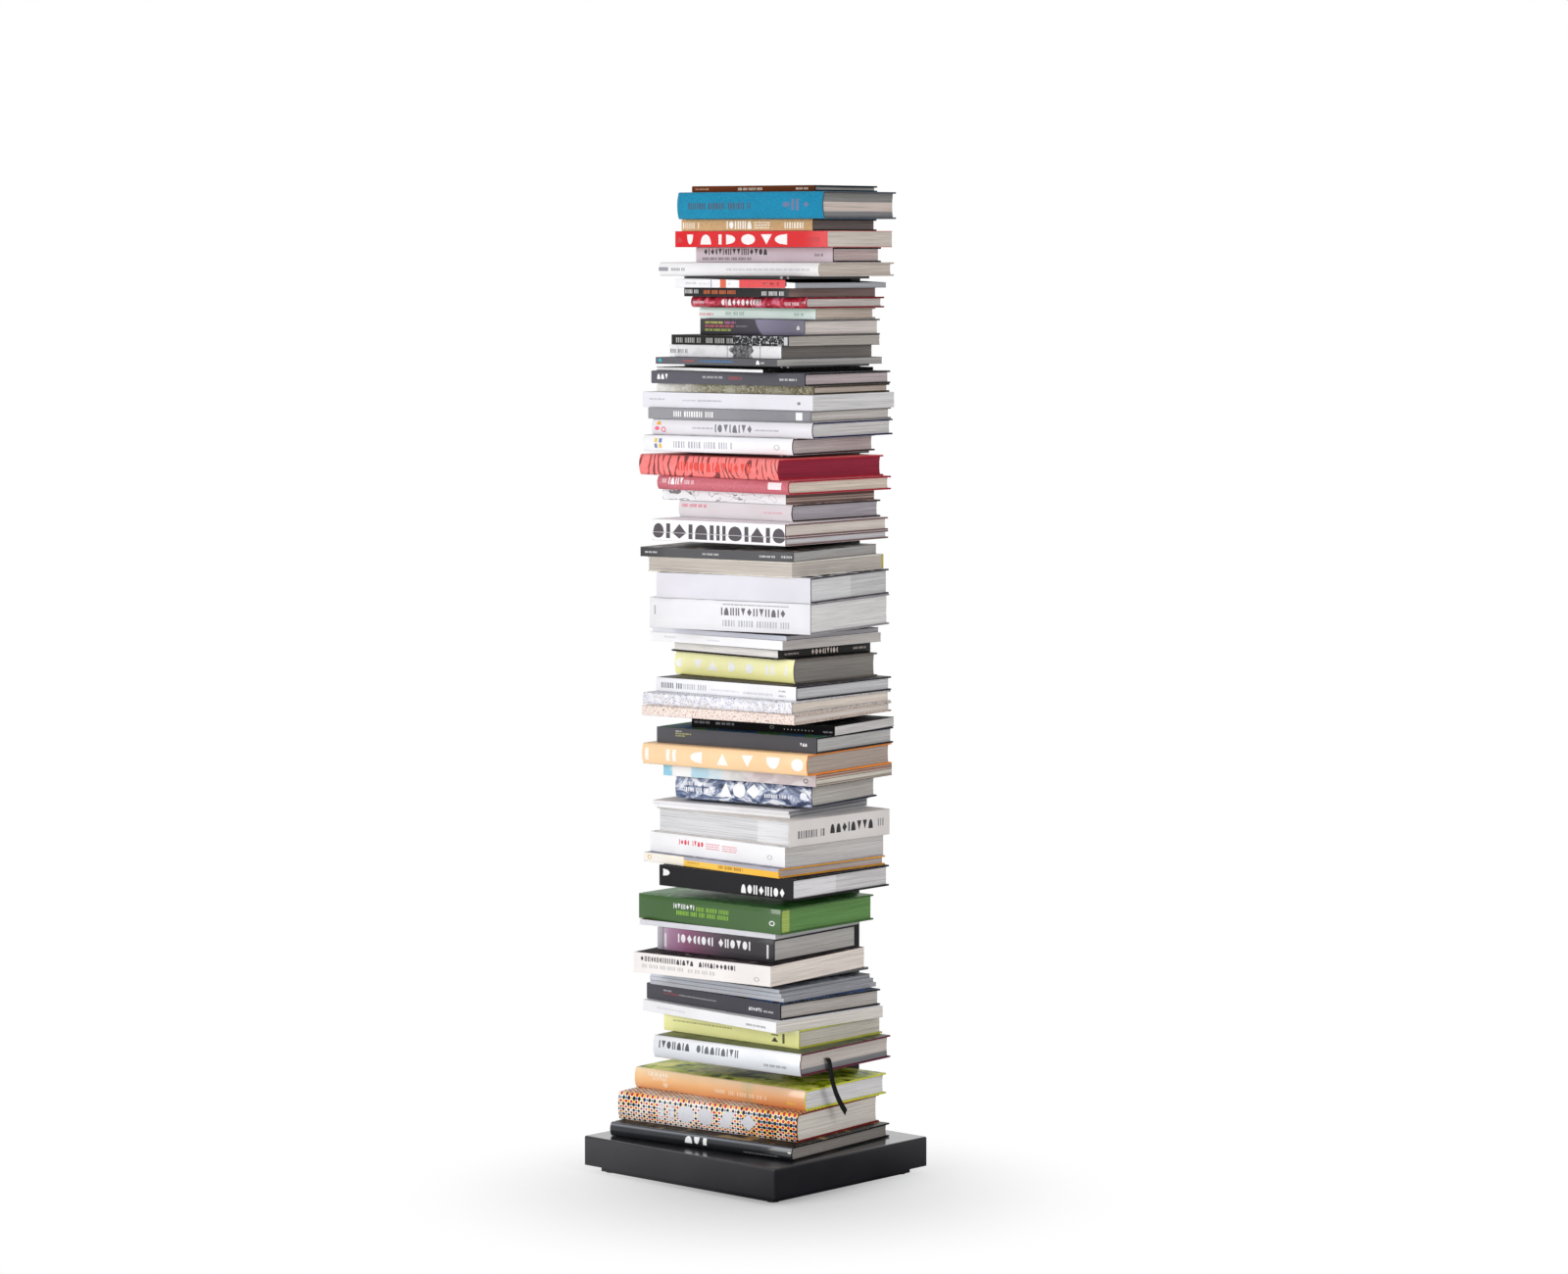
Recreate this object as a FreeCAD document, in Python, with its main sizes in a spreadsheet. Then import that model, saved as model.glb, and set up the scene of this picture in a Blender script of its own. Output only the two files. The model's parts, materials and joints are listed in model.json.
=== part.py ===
import FreeCAD, Part
import Sketcher
import os

# A free-standing spine bookcase, in millimetres. +Z is up, the column stands at +Y and the
# spines of the books face -Y. The origin is the middle of the base, on the floor.
doc = FreeCAD.newDocument("spine_bookcase")
sheet = doc.addObject("Spreadsheet::Sheet", "Sizes")
levels = doc.addObject("Spreadsheet::Sheet", "Levels")

structure_sizes = {
    # the low steel base
    "base_width": 420,
    "base_depth": 370,
    "cover_height": 48,
    "cover_wall": 2,
    "cover_edge_radius": 3,
    "plinth_inset": 20,
    "plinth_bar": 25,
    "plinth_height": 11,
    "glide_radius": 10,
    "glide_thickness": 1.5,
    "ballast_thickness": 20,
    "ballast_gap": 3,
    "rib_width": 20,
    "rib_spacing": 150,
    "rib_length": 255,
    "rib_front_gap": 8,
    # the column and its foot
    "column_width": 150,
    "column_depth": 25,
    "column_wall": 2,
    "column_edge_radius": 2.5,
    "column_back_gap": 13,
    "column_rise": 133.5,
    "foot_width": 220,
    "foot_depth": 64,
    "foot_thickness": 8,
    "foot_back_gap": 2,
    "foot_corner_radius": 6,
    "foot_bolt_edge": 14,
    "foot_bolt_radius": 5,
    "foot_bolt_head": 6.4,
    "foot_bolt_head_radius": 9.2,
    "foot_bolt_reach": 16,
    "hole_gap": 0.3,
    "slot_gap": 1.5,
    "cap_thickness": 3,
    "cap_plug": 10,
    "cap_gap": 0.3,
    # one shelf of folded plate, and the two hooks that hang it in the column's slots
    "shelf_width": 230,
    "shelf_depth": 200,
    "shelf_plate": 4,
    "shelf_corner_radius": 14,
    "shelf_bend_radius": 1,
    "flange_width": 120,
    "flange_height": 60,
    "flange_corner_radius": 8,
    "hook_spacing": 64,
    "hook_width": 24,
    "hook_plate": 3,
    "hook_drop": 8,
    "hook_gap": 0.3,
    # what the stacks keep clear
    "stack_lift": 0.3,
    "book_gap": 0.5,
    "finger_room": 0.7,
    "first_shelf_room": 25.7,
    # how a book is bound
    "board": 3,
    "board_square": 3.5,
    "soft_cover": 0.8,
    "soft_square": 0.4,
    "spine_bulge": 4,
    # the ribbon marker of the silver book
    "ribbon_width": 10,
    "ribbon_thickness": 0.6,
    "ribbon_drop": 93,
    "ribbon_swing": 42,
    "ribbon_stand_off": 4,
}

shelf_count = 10
overrun_share = 0.05

# Each volume: length of its spine, depth, thickness, how far it is turned, how far the middle
# of its back edge is moved sideways, how far it is pulled off the column, and its binding.
# The names tell the colour or the kind.
volumes = {
    # stack 0, on the base
    "black_gloss": {"length": 368, "depth": 268, "thickness": 23,
                    "angle": 5.5, "shift": -17, "pull": 10, "binding": "round"},
    "dotted": {"length": 358, "depth": 232, "thickness": 46,
               "angle": 6.5, "shift": -30, "pull": 14, "binding": "round"},
    "orange_gloss": {"length": 356, "depth": 214, "thickness": 34,
                     "angle": 3.5, "shift": -24, "pull": 0, "binding": "round"},
    # stack 1
    "silver": {"length": 302, "depth": 239, "thickness": 36.5,
               "angle": 4, "shift": 25, "pull": 17, "binding": "round"},
    "lime": {"length": 290, "depth": 209, "thickness": 30,
             "angle": 1.5, "shift": 9, "pull": 7, "binding": "flat"},
    "thin_white": {"length": 318, "depth": 238, "thickness": 18,
                   "angle": -4.5, "shift": 11, "pull": 2, "binding": "soft"},
    "charcoal": {"length": 313, "depth": 227, "thickness": 26.5,
                 "angle": -3.5, "shift": 2, "pull": 1, "binding": "flat"},
    "low_issue": {"length": 292, "depth": 227, "thickness": 6.5,
                  "angle": 0.5, "shift": -10, "pull": 0, "binding": "soft"},
    "middle_issue": {"length": 288, "depth": 226, "thickness": 6.5,
                     "angle": 0.5, "shift": -14, "pull": 0, "binding": "soft"},
    "top_issue": {"length": 280, "depth": 224, "thickness": 6,
                  "angle": 1, "shift": -18, "pull": 0, "binding": "soft"},
    # stack 2
    "off_white": {"length": 273, "depth": 261, "thickness": 33,
                  "angle": 6.5, "shift": -23, "pull": 7, "binding": "soft"},
    "purple_grey": {"length": 241, "depth": 219, "thickness": 37,
                    "angle": 4, "shift": -16, "pull": 13, "binding": "flat"},
    "pamphlet": {"length": 280, "depth": 222, "thickness": 9,
                 "angle": 4.5, "shift": -36, "pull": 8, "binding": "soft"},
    "green": {"length": 303, "depth": 234, "thickness": 41.5,
              "angle": 2, "shift": -23, "pull": 0, "binding": "flat"},
    # stack 3
    "dark_slate": {"length": 284, "depth": 240, "thickness": 34,
                   "angle": 1.5, "shift": 33, "pull": 16, "binding": "flat"},
    "amber": {"length": 309, "depth": 245, "thickness": 15.5,
              "angle": -2.5, "shift": 15, "pull": 6, "binding": "flat"},
    "rose_lettered": {"length": 306, "depth": 229, "thickness": 32.5,
                      "angle": -2, "shift": 11, "pull": 6, "binding": "soft"},
    "turned_report": {"length": 296, "depth": 236, "thickness": 42,
                      "angle": -1, "shift": 20, "pull": 0, "binding": "turned"},
    "low_journal": {"length": 270, "depth": 216, "thickness": 6,
                    "angle": 6.5, "shift": -21, "pull": 1, "binding": "soft"},
    "top_journal": {"length": 272, "depth": 219, "thickness": 5.5,
                    "angle": 6.5, "shift": -22, "pull": 1, "binding": "soft"},
    # stack 4
    "cloudy_blue": {"length": 260, "depth": 200, "thickness": 36.5,
                    "angle": 9.5, "shift": 3, "pull": 3, "binding": "round"},
    "striped": {"length": 301, "depth": 216, "thickness": 19,
                "angle": 7, "shift": 11, "pull": 0, "binding": "soft"},
    "apricot": {"length": 327, "depth": 238, "thickness": 34,
                "angle": 6.5, "shift": -1, "pull": 2, "binding": "round"},
    "graphite": {"length": 315, "depth": 218, "thickness": 26,
                 "angle": 7, "shift": 7, "pull": 1, "binding": "flat"},
    "small_black": {"length": 270, "depth": 186, "thickness": 15.5,
                    "angle": 10.5, "shift": 27, "pull": 0, "binding": "soft"},
    # stack 5
    "peach": {"length": 295, "depth": 281, "thickness": 16,
              "angle": 8, "shift": 13, "pull": 2, "binding": "flat"},
    "speckled": {"length": 298, "depth": 269, "thickness": 19,
                 "angle": 5.5, "shift": 15, "pull": 5, "binding": "flat"},
    "tall_white": {"length": 289, "depth": 247, "thickness": 22.5,
                   "angle": 3.5, "shift": 20, "pull": 2, "binding": "flat"},
    "lemon": {"length": 264, "depth": 199, "thickness": 38,
              "angle": -1, "shift": 13, "pull": 5, "binding": "round"},
    "turned_black": {"length": 248, "depth": 208, "thickness": 17.5,
                     "angle": -3, "shift": 10, "pull": 2, "binding": "turned"},
    "slim_white": {"length": 292, "depth": 235, "thickness": 15,
                   "angle": -0.5, "shift": 1, "pull": 0, "binding": "soft"},
    "blue_grey": {"length": 284, "depth": 231, "thickness": 7.5,
                  "angle": 2, "shift": -4, "pull": 0, "binding": "soft"},
    # stack 6
    "thick_white": {"length": 297, "depth": 257, "thickness": 49.5,
                    "angle": 12, "shift": 4, "pull": 0, "binding": "flat"},
    "lilac": {"length": 283, "depth": 258, "thickness": 40.5,
              "angle": 12.5, "shift": 11, "pull": 2, "binding": "flat"},
    "turned_olive": {"length": 279, "depth": 264, "thickness": 24,
                     "angle": 8, "shift": 4, "pull": 0, "binding": "backward"},
    "curled_magazine": {"length": 287, "depth": 259, "thickness": 15.5,
                        "angle": 11, "shift": -14, "pull": 1, "binding": "soft"},
    # stack 7
    "low_marked": {"length": 270, "depth": 272, "thickness": 13.5,
                   "angle": 4.5, "shift": 26, "pull": 7, "binding": "flat"},
    "top_marked": {"length": 269, "depth": 272, "thickness": 21,
                   "angle": 4.5, "shift": 26, "pull": 7, "binding": "flat"},
    "warm_grey": {"length": 239, "depth": 221, "thickness": 27.5,
                  "angle": 1.5, "shift": 25, "pull": 3, "binding": "round"},
    "sketch": {"length": 261, "depth": 222, "thickness": 17,
               "angle": 2, "shift": 2, "pull": 4, "binding": "soft"},
    "crimson": {"length": 284, "depth": 248, "thickness": 22,
                "angle": 0, "shift": 25, "pull": 1, "binding": "round"},
    "salmon": {"length": 310, "depth": 247, "thickness": 33.5,
               "angle": -1.5, "shift": 0, "pull": 0, "binding": "round"},
    # stack 8
    "pale": {"length": 292, "depth": 236, "thickness": 26.5,
             "angle": 7.5, "shift": -16, "pull": 4, "binding": "round"},
    "navy": {"length": 312, "depth": 231, "thickness": 25.5,
             "angle": 7.5, "shift": 5, "pull": 0, "binding": "round"},
    "mid_grey": {"length": 317, "depth": 229, "thickness": 18.5,
                 "angle": 7.5, "shift": 0, "pull": 1, "binding": "flat"},
    "plain_white": {"length": 336, "depth": 227, "thickness": 24.5,
                    "angle": 6.5, "shift": -2, "pull": 1, "binding": "soft"},
    "khaki": {"length": 310, "depth": 211, "thickness": 14,
              "angle": 6.5, "shift": 2, "pull": 2, "binding": "flat"},
    "dark_grey": {"length": 307, "depth": 232, "thickness": 20.5,
                  "angle": 5.5, "shift": 7, "pull": 3, "binding": "flat"},
    "turned_thin": {"length": 252, "depth": 242, "thickness": 6,
                    "angle": -4.5, "shift": 17, "pull": 0, "binding": "turned_soft"},
    # stack 9
    "grey_cyan": {"length": 261, "depth": 254, "thickness": 11,
                  "angle": 0.5, "shift": 19, "pull": 4, "binding": "soft"},
    "photo_grey": {"length": 250, "depth": 211, "thickness": 19.5,
                   "angle": -1.5, "shift": 6, "pull": 2, "binding": "soft"},
    "slim_black": {"length": 259, "depth": 214, "thickness": 16,
                   "angle": -1, "shift": 17, "pull": 2, "binding": "soft"},
    "slate": {"length": 227, "depth": 181, "thickness": 25.5,
              "angle": -0.5, "shift": 30, "pull": 0, "binding": "flat"},
    "mint": {"length": 241, "depth": 154, "thickness": 18,
             "angle": 3, "shift": 11, "pull": 2, "binding": "flat"},
    "raspberry": {"length": 251, "depth": 187, "thickness": 17.5,
                  "angle": -0.5, "shift": 28, "pull": 1, "binding": "round"},
    "black_orange": {"length": 240, "depth": 196, "thickness": 14.5,
                     "angle": -3.5, "shift": 24, "pull": 0, "binding": "soft"},
    "sagging_magazine": {"length": 267, "depth": 212, "thickness": 13.5,
                         "angle": -1.5, "shift": 27, "pull": 0, "binding": "soft"},
    # stack 10
    "rounded_white": {"length": 323, "depth": 201, "thickness": 22,
                      "angle": 4.5, "shift": 5, "pull": 1, "binding": "round"},
    "lilac_grey": {"length": 274, "depth": 132, "thickness": 24,
                   "angle": 5.5, "shift": 3, "pull": 1, "binding": "flat"},
    "red": {"length": 311, "depth": 170, "thickness": 26,
            "angle": 4, "shift": 8, "pull": 1, "binding": "soft"},
    "tan": {"length": 268, "depth": 168, "thickness": 19,
            "angle": 4, "shift": -1, "pull": 2, "binding": "flat"},
    "blue_cloth": {"length": 298, "depth": 191, "thickness": 43,
                   "angle": 3.5, "shift": 22, "pull": 0, "binding": "round"},
    "slim_brown": {"length": 247, "depth": 168, "thickness": 10,
                   "angle": 5, "shift": 10, "pull": 2, "binding": "flat"},
}

# The stacks, from the one on the base up, each from its lowest volume up.
stacks = [
    ["black_gloss", "dotted", "orange_gloss"],
    ["silver", "lime", "thin_white", "charcoal", "low_issue", "middle_issue", "top_issue"],
    ["off_white", "purple_grey", "pamphlet", "green"],
    ["dark_slate", "amber", "rose_lettered", "turned_report", "low_journal", "top_journal"],
    ["cloudy_blue", "striped", "apricot", "graphite", "small_black"],
    ["peach", "speckled", "tall_white", "lemon", "turned_black", "slim_white", "blue_grey"],
    ["thick_white", "lilac", "turned_olive", "curled_magazine"],
    ["low_marked", "top_marked", "warm_grey", "sketch", "crimson", "salmon"],
    ["pale", "navy", "mid_grey", "plain_white", "khaki", "dark_grey", "turned_thin"],
    [
        "grey_cyan", "photo_grey", "slim_black", "slate", "mint", "raspberry", "black_orange",
        "sagging_magazine",
    ],
    ["rounded_white", "lilac_grey", "red", "tan", "blue_cloth", "slim_brown"],
]

# Which volumes share a file: thin ones go with a neighbour of their own stack.
book_groups = {
    "black_gloss_book": ["black_gloss"],
    "dotted_book": ["dotted"],
    "orange_book": ["orange_gloss"],
    "silver_book": ["silver"],
    "lime_and_white_books": ["lime", "thin_white"],
    "charcoal_book": ["charcoal"],
    "grey_magazines": ["low_issue", "middle_issue", "top_issue"],
    "off_white_book": ["off_white"],
    "purple_grey_book": ["purple_grey"],
    "green_and_thin_books": ["pamphlet", "green"],
    "dark_slate_book": ["dark_slate"],
    "amber_and_rose_books": ["amber", "rose_lettered"],
    "report_and_journals": ["turned_report", "low_journal", "top_journal"],
    "cloudy_blue_book": ["cloudy_blue"],
    "striped_book": ["striped"],
    "apricot_book": ["apricot"],
    "graphite_and_black_books": ["graphite", "small_black"],
    "peach_and_speckled_books": ["peach", "speckled"],
    "tall_white_book": ["tall_white"],
    "lemon_book": ["lemon"],
    "black_white_and_thin_books": ["turned_black", "slim_white", "blue_grey"],
    "thick_white_book": ["thick_white"],
    "lilac_book": ["lilac"],
    "olive_book_and_magazine": ["turned_olive", "curled_magazine"],
    "two_volume_set": ["low_marked", "top_marked"],
    "warm_grey_and_sketch_books": ["warm_grey", "sketch"],
    "crimson_book": ["crimson"],
    "salmon_book": ["salmon"],
    "pale_book": ["pale"],
    "navy_and_grey_books": ["navy", "mid_grey"],
    "white_and_khaki_books": ["plain_white", "khaki"],
    "dark_grey_and_thin_books": ["dark_grey", "turned_thin"],
    "grey_paperbacks": ["grey_cyan", "photo_grey", "slim_black"],
    "slate_and_mint_books": ["slate", "mint"],
    "raspberry_and_black_books": ["raspberry", "black_orange", "sagging_magazine"],
    "white_and_lilac_books": ["rounded_white", "lilac_grey"],
    "red_and_tan_books": ["red", "tan"],
    "blue_and_brown_books": ["blue_cloth", "slim_brown"],
}

# The ribbon comes out of the page ends here, as shares of the book's depth and thickness.
ribbon_exit_depth_share = 0.70
ribbon_exit_height_share = 0.57
# Down the ribbon: share of its stand-off, of its swing to the back and of its drop.
ribbon_path_shares = [
    (0.0, 0.0, 0.0),
    (0.62, 0.0, 0.01),
    (0.9, 0.01, 0.06),
    (1.0, 0.03, 0.13),
    (1.0, 0.08, 0.24),
    (0.97, 0.17, 0.38),
    (0.95, 0.3, 0.52),
    (0.96, 0.46, 0.66),
    (1.0, 0.64, 0.79),
    (1.06, 0.82, 0.9),
    (1.15, 1.0, 1.0),
]


def fill_sheet(target, table, formula_sign):
    """Write a table of named cells, each with its alias, as text."""
    for row, (name, value) in enumerate(table.items(), start=1):
        cell = "A" + str(row)
        target.set(cell, formula_sign + str(value))
        target.setAlias(cell, name)


def book_sizes():
    """The sizes of every volume, one named cell each."""
    table = {}
    for name, volume in volumes.items():
        for measure, value in volume.items():
            if measure != "binding":
                table[name + "_" + measure] = value
    return table


def level_formulas():
    """Heights and faces that several pieces share, worked out from the sizes."""
    table = {
        "ballast_bottom": "Sizes.glide_thickness + Sizes.plinth_height",
        "ballast_top": "ballast_bottom + Sizes.ballast_thickness",
        "base_top": "ballast_bottom + Sizes.cover_height",
        "foot_top": "ballast_top + Sizes.foot_thickness",
        "column_back": "Sizes.base_depth / 2 - Sizes.column_back_gap",
        "column_face": "column_back - Sizes.column_depth",
        "book_face": "column_face - Sizes.shelf_plate - Sizes.book_gap",
        "foot_back": "Sizes.base_depth / 2 - Sizes.cover_wall - Sizes.foot_back_gap",
        "rib_front": "-Sizes.base_depth / 2 + Sizes.cover_wall + Sizes.rib_front_gap",
        "rib_height": "base_top - Sizes.cover_wall - ballast_top",
    }
    stack_names = []
    for index, stack in enumerate(stacks):
        stack_name = "stack_" + format(index, "02d")
        table[stack_name] = " + ".join("Sizes." + name + "_thickness" for name in stack)
        stack_names.append(stack_name)
    # the shelves stand at one pitch, which the tallest stack between two of them needs
    between = "; ".join(stack_names[1:-1])
    table["shelf_pitch"] = (
        "max(" + between + ") + Sizes.stack_lift + Sizes.finger_room + Sizes.shelf_plate"
    )
    table["shelf_top_01"] = (
        "base_top + Sizes.stack_lift + stack_00 + Sizes.first_shelf_room + Sizes.shelf_plate"
    )
    for index in range(2, shelf_count + 1):
        above = "shelf_top_" + format(index, "02d")
        below = "shelf_top_" + format(index - 1, "02d")
        table[above] = below + " + shelf_pitch"
    table["column_top"] = "shelf_top_" + format(shelf_count, "02d") + " + Sizes.column_rise"
    return table


fill_sheet(sheet, {**structure_sizes, **book_sizes()}, "")
fill_sheet(levels, level_formulas(), "=")
doc.recompute()


def size(name):
    """A size from the sheet as a plain number, for shapes made in code."""
    return float(getattr(sheet, name))


def level(name):
    """A worked-out height or face as a plain number."""
    return float(getattr(levels, name))


def bind(item, formulas):
    for prop, formula in formulas.items():
        item.setExpression(prop, formula)


def place(item, x, y, z):
    bind(item, {"Placement.Base.x": x, "Placement.Base.y": y, "Placement.Base.z": z})


def make_box(name, length, width, height, x, y, z):
    item = doc.addObject("Part::Box", name)
    bind(item, {"Length": length, "Width": width, "Height": height})
    place(item, x, y, z)
    return item


def make_rod(name, radius, height, x, y, z):
    """An upright cylinder."""
    item = doc.addObject("Part::Cylinder", name)
    bind(item, {"Radius": radius, "Height": height})
    place(item, x, y, z)
    return item


def make_cut(name, base, tool):
    item = doc.addObject("Part::Cut", name)
    item.Base = base
    item.Tool = tool
    return item


def make_fuse(name, pieces):
    item = doc.addObject("Part::MultiFuse", name)
    item.Shapes = pieces
    return item


def make_common(name, pieces):
    item = doc.addObject("Part::MultiCommon", name)
    item.Shapes = pieces
    return item


def make_group(name, pieces):
    item = doc.addObject("Part::Compound", name)
    item.Links = pieces
    return item


def round_edges(name, base, radius, chosen):
    """A fillet on the edges that the test picks."""
    doc.recompute()
    item = doc.addObject("Part::Fillet", name)
    item.Base = base
    picked = []
    for index, edge in enumerate(base.Shape.Edges, start=1):
        if chosen(edge):
            picked.append((index, radius, radius))
    item.Edges = picked
    return item


def runs_along(edge, axis):
    """True for a straight edge along that axis, 0 for X, 1 for Y and 2 for Z."""
    if not isinstance(edge.Curve, Part.Line):
        return False
    direction = edge.Curve.Direction
    return abs(abs(direction[axis]) - 1) < Part.Precision.confusion()


parts = {}

# Base: glides, a recessed plinth, a ballast plate, ribs, and a pressed cover over them.
plinth_x = "(Sizes.base_width / 2 - Sizes.plinth_inset)"
plinth_y = "(Sizes.base_depth / 2 - Sizes.plinth_inset)"
glide_x = "(" + plinth_x + " - Sizes.plinth_bar / 2)"
glide_y = "(" + plinth_y + " - Sizes.plinth_bar / 2)"
glides = []
for corner, (sign_x, sign_y) in enumerate([("-", "-"), ("", "-"), ("", ""), ("-", "")], start=1):
    glides.append(
        make_rod(
            "glide_" + str(corner),
            "Sizes.glide_radius",
            "Sizes.glide_thickness",
            sign_x + glide_x,
            sign_y + glide_y,
            "0",
        )
    )
parts["glide_pads"] = make_group("glide_group", glides)

plinth_outer = make_box(
    "plinth_outer",
    "2 * " + plinth_x,
    "2 * " + plinth_y,
    "Sizes.plinth_height",
    "-" + plinth_x,
    "-" + plinth_y,
    "Sizes.glide_thickness",
)
plinth_inner = make_box(
    "plinth_inner",
    "2 * (" + plinth_x + " - Sizes.plinth_bar)",
    "2 * (" + plinth_y + " - Sizes.plinth_bar)",
    "2 * Sizes.plinth_height",
    "-(" + plinth_x + " - Sizes.plinth_bar)",
    "-(" + plinth_y + " - Sizes.plinth_bar)",
    "Sizes.glide_thickness - Sizes.plinth_height / 2",
)
parts["plinth"] = make_cut("plinth_frame", plinth_outer, plinth_inner)

inner_x = "(Sizes.base_width / 2 - Sizes.cover_wall - Sizes.ballast_gap)"
inner_y = "(Sizes.base_depth / 2 - Sizes.cover_wall - Sizes.ballast_gap)"
ballast_blank = make_box(
    "ballast_blank",
    "2 * " + inner_x,
    "2 * " + inner_y,
    "Sizes.ballast_thickness",
    "-" + inner_x,
    "-" + inner_y,
    "Levels.ballast_bottom",
)

# the bolts stand midway between the column's sides and the ends of its foot
bolt_x = "((Sizes.column_width / 2 + Sizes.foot_width / 2) / 2)"
foot_front = "(Levels.foot_back - Sizes.foot_depth)"
bolt_places = []
for sign in ("-", ""):
    bolt_places.append((sign + bolt_x, foot_front + " + Sizes.foot_bolt_edge"))
    bolt_places.append((sign + bolt_x, "Levels.foot_back - Sizes.foot_bolt_edge"))

ballast_holes = []
for index, (x, y) in enumerate(bolt_places, start=1):
    ballast_holes.append(
        make_rod(
            "ballast_bolt_hole_" + str(index),
            "Sizes.foot_bolt_radius + Sizes.hole_gap",
            "2 * Sizes.ballast_thickness",
            x,
            y,
            "Levels.ballast_bottom - Sizes.ballast_thickness / 2",
        )
    )
parts["ballast_plate"] = make_cut(
    "ballast_drilled", ballast_blank, make_fuse("ballast_hole_set", ballast_holes)
)

ribs = []
for index, sign in enumerate(("-", "0 * ", ""), start=1):
    ribs.append(
        make_box(
            "rib_" + str(index),
            "Sizes.rib_width",
            "Sizes.rib_length",
            "Levels.rib_height",
            sign + "Sizes.rib_spacing - Sizes.rib_width / 2",
            "Levels.rib_front",
            "Levels.ballast_top",
        )
    )
parts["base_ribs"] = make_group("rib_group", ribs)

cover_blank = make_box(
    "cover_blank",
    "Sizes.base_width",
    "Sizes.base_depth",
    "Sizes.cover_height",
    "-Sizes.base_width / 2",
    "-Sizes.base_depth / 2",
    "Levels.ballast_bottom",
)


def on_cover_outside(edge):
    """The four upright edges and the four top edges of the cover."""
    if runs_along(edge, 2):
        return True
    return edge.CenterOfMass.z > level("base_top") - size("cover_wall")


cover_round = round_edges(
    "cover_round", cover_blank, size("cover_edge_radius"), on_cover_outside
)
cover_hollow = make_box(
    "cover_hollow",
    "Sizes.base_width - 2 * Sizes.cover_wall",
    "Sizes.base_depth - 2 * Sizes.cover_wall",
    "Sizes.cover_height",
    "-Sizes.base_width / 2 + Sizes.cover_wall",
    "-Sizes.base_depth / 2 + Sizes.cover_wall",
    "Levels.ballast_bottom - Sizes.cover_wall",
)
cover_slot = make_box(
    "cover_slot",
    "Sizes.column_width + 2 * Sizes.slot_gap",
    "Sizes.column_depth + 2 * Sizes.slot_gap",
    "4 * Sizes.cover_wall",
    "-Sizes.column_width / 2 - Sizes.slot_gap",
    "Levels.column_face - Sizes.slot_gap",
    "Levels.base_top - 2 * Sizes.cover_wall",
)
parts["base_cover"] = make_cut(
    "cover_shell", cover_round, make_fuse("cover_openings", [cover_hollow, cover_slot])
)

# Foot: a plate welded under the column and bolted to the ballast.
foot_blank = make_box(
    "foot_blank",
    "Sizes.foot_width",
    "Sizes.foot_depth",
    "Sizes.foot_thickness",
    "-Sizes.foot_width / 2",
    foot_front,
    "Levels.ballast_top",
)
foot_round = round_edges(
    "foot_round", foot_blank, size("foot_corner_radius"), lambda edge: runs_along(edge, 2)
)
foot_holes = []
bolts = []
for index, (x, y) in enumerate(bolt_places, start=1):
    foot_holes.append(
        make_rod(
            "foot_hole_" + str(index),
            "Sizes.foot_bolt_radius + Sizes.hole_gap",
            "2 * Sizes.foot_thickness",
            x,
            y,
            "Levels.ballast_top - Sizes.foot_thickness / 2",
        )
    )
    head = doc.addObject("Part::Prism", "foot_bolt_head_" + str(index))
    head.Polygon = 6
    bind(head, {"Circumradius": "Sizes.foot_bolt_head_radius", "Height": "Sizes.foot_bolt_head"})
    place(head, x, y, "Levels.foot_top")
    shank = make_rod(
        "foot_bolt_shank_" + str(index),
        "Sizes.foot_bolt_radius",
        "Sizes.foot_bolt_reach + Sizes.foot_thickness",
        x,
        y,
        "Levels.foot_top - Sizes.foot_bolt_reach - Sizes.foot_thickness",
    )
    bolts.append(make_fuse("foot_bolt_" + str(index), [head, shank]))
parts["column_foot"] = make_cut("foot_drilled", foot_round, make_fuse("foot_hole_set", foot_holes))
parts["foot_bolts"] = make_group("foot_bolt_group", bolts)


# Column: a rectangular tube with a pair of slots in its front wall for each shelf.
def origin_plane(body, role):
    for feature in body.Origin.OriginFeatures:
        if feature.Role == role:
            return feature
    raise RuntimeError("no plane " + role)


def new_sketch(body, name, role):
    sketch = body.newObject("Sketcher::SketchObject", name)
    sketch.AttachmentSupport = [(origin_plane(body, role), "")]
    sketch.MapMode = "FlatFace"
    return sketch


def draw_box(sketch, left, right, low, high):
    """A rectangle of four joined lines. Returns the number of its first line, the low one."""
    corners = [
        FreeCAD.Vector(left, low, 0),
        FreeCAD.Vector(right, low, 0),
        FreeCAD.Vector(right, high, 0),
        FreeCAD.Vector(left, high, 0),
    ]
    first = sketch.GeometryCount
    for index in range(4):
        sketch.addGeometry(Part.LineSegment(corners[index], corners[(index + 1) % 4]), False)
    for index in range(4):
        other = first + (index + 1) % 4
        sketch.addConstraint(Sketcher.Constraint("Coincident", first + index, 2, other, 1))
    sketch.addConstraint(Sketcher.Constraint("Horizontal", first))
    sketch.addConstraint(Sketcher.Constraint("Vertical", first + 1))
    sketch.addConstraint(Sketcher.Constraint("Horizontal", first + 2))
    sketch.addConstraint(Sketcher.Constraint("Vertical", first + 3))
    return first


def hold(sketch, kind, one, one_point, other, other_point, formula):
    """Keeps two points of a sketch at the distance that a formula gives."""
    gap = sketch.getPoint(other, other_point) - sketch.getPoint(one, one_point)
    value = gap.x if kind == "DistanceX" else gap.y
    row = sketch.addConstraint(
        Sketcher.Constraint(kind, one, one_point, other, other_point, value)
    )
    sketch.setExpression("Constraints[" + str(row) + "]", formula)


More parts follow.
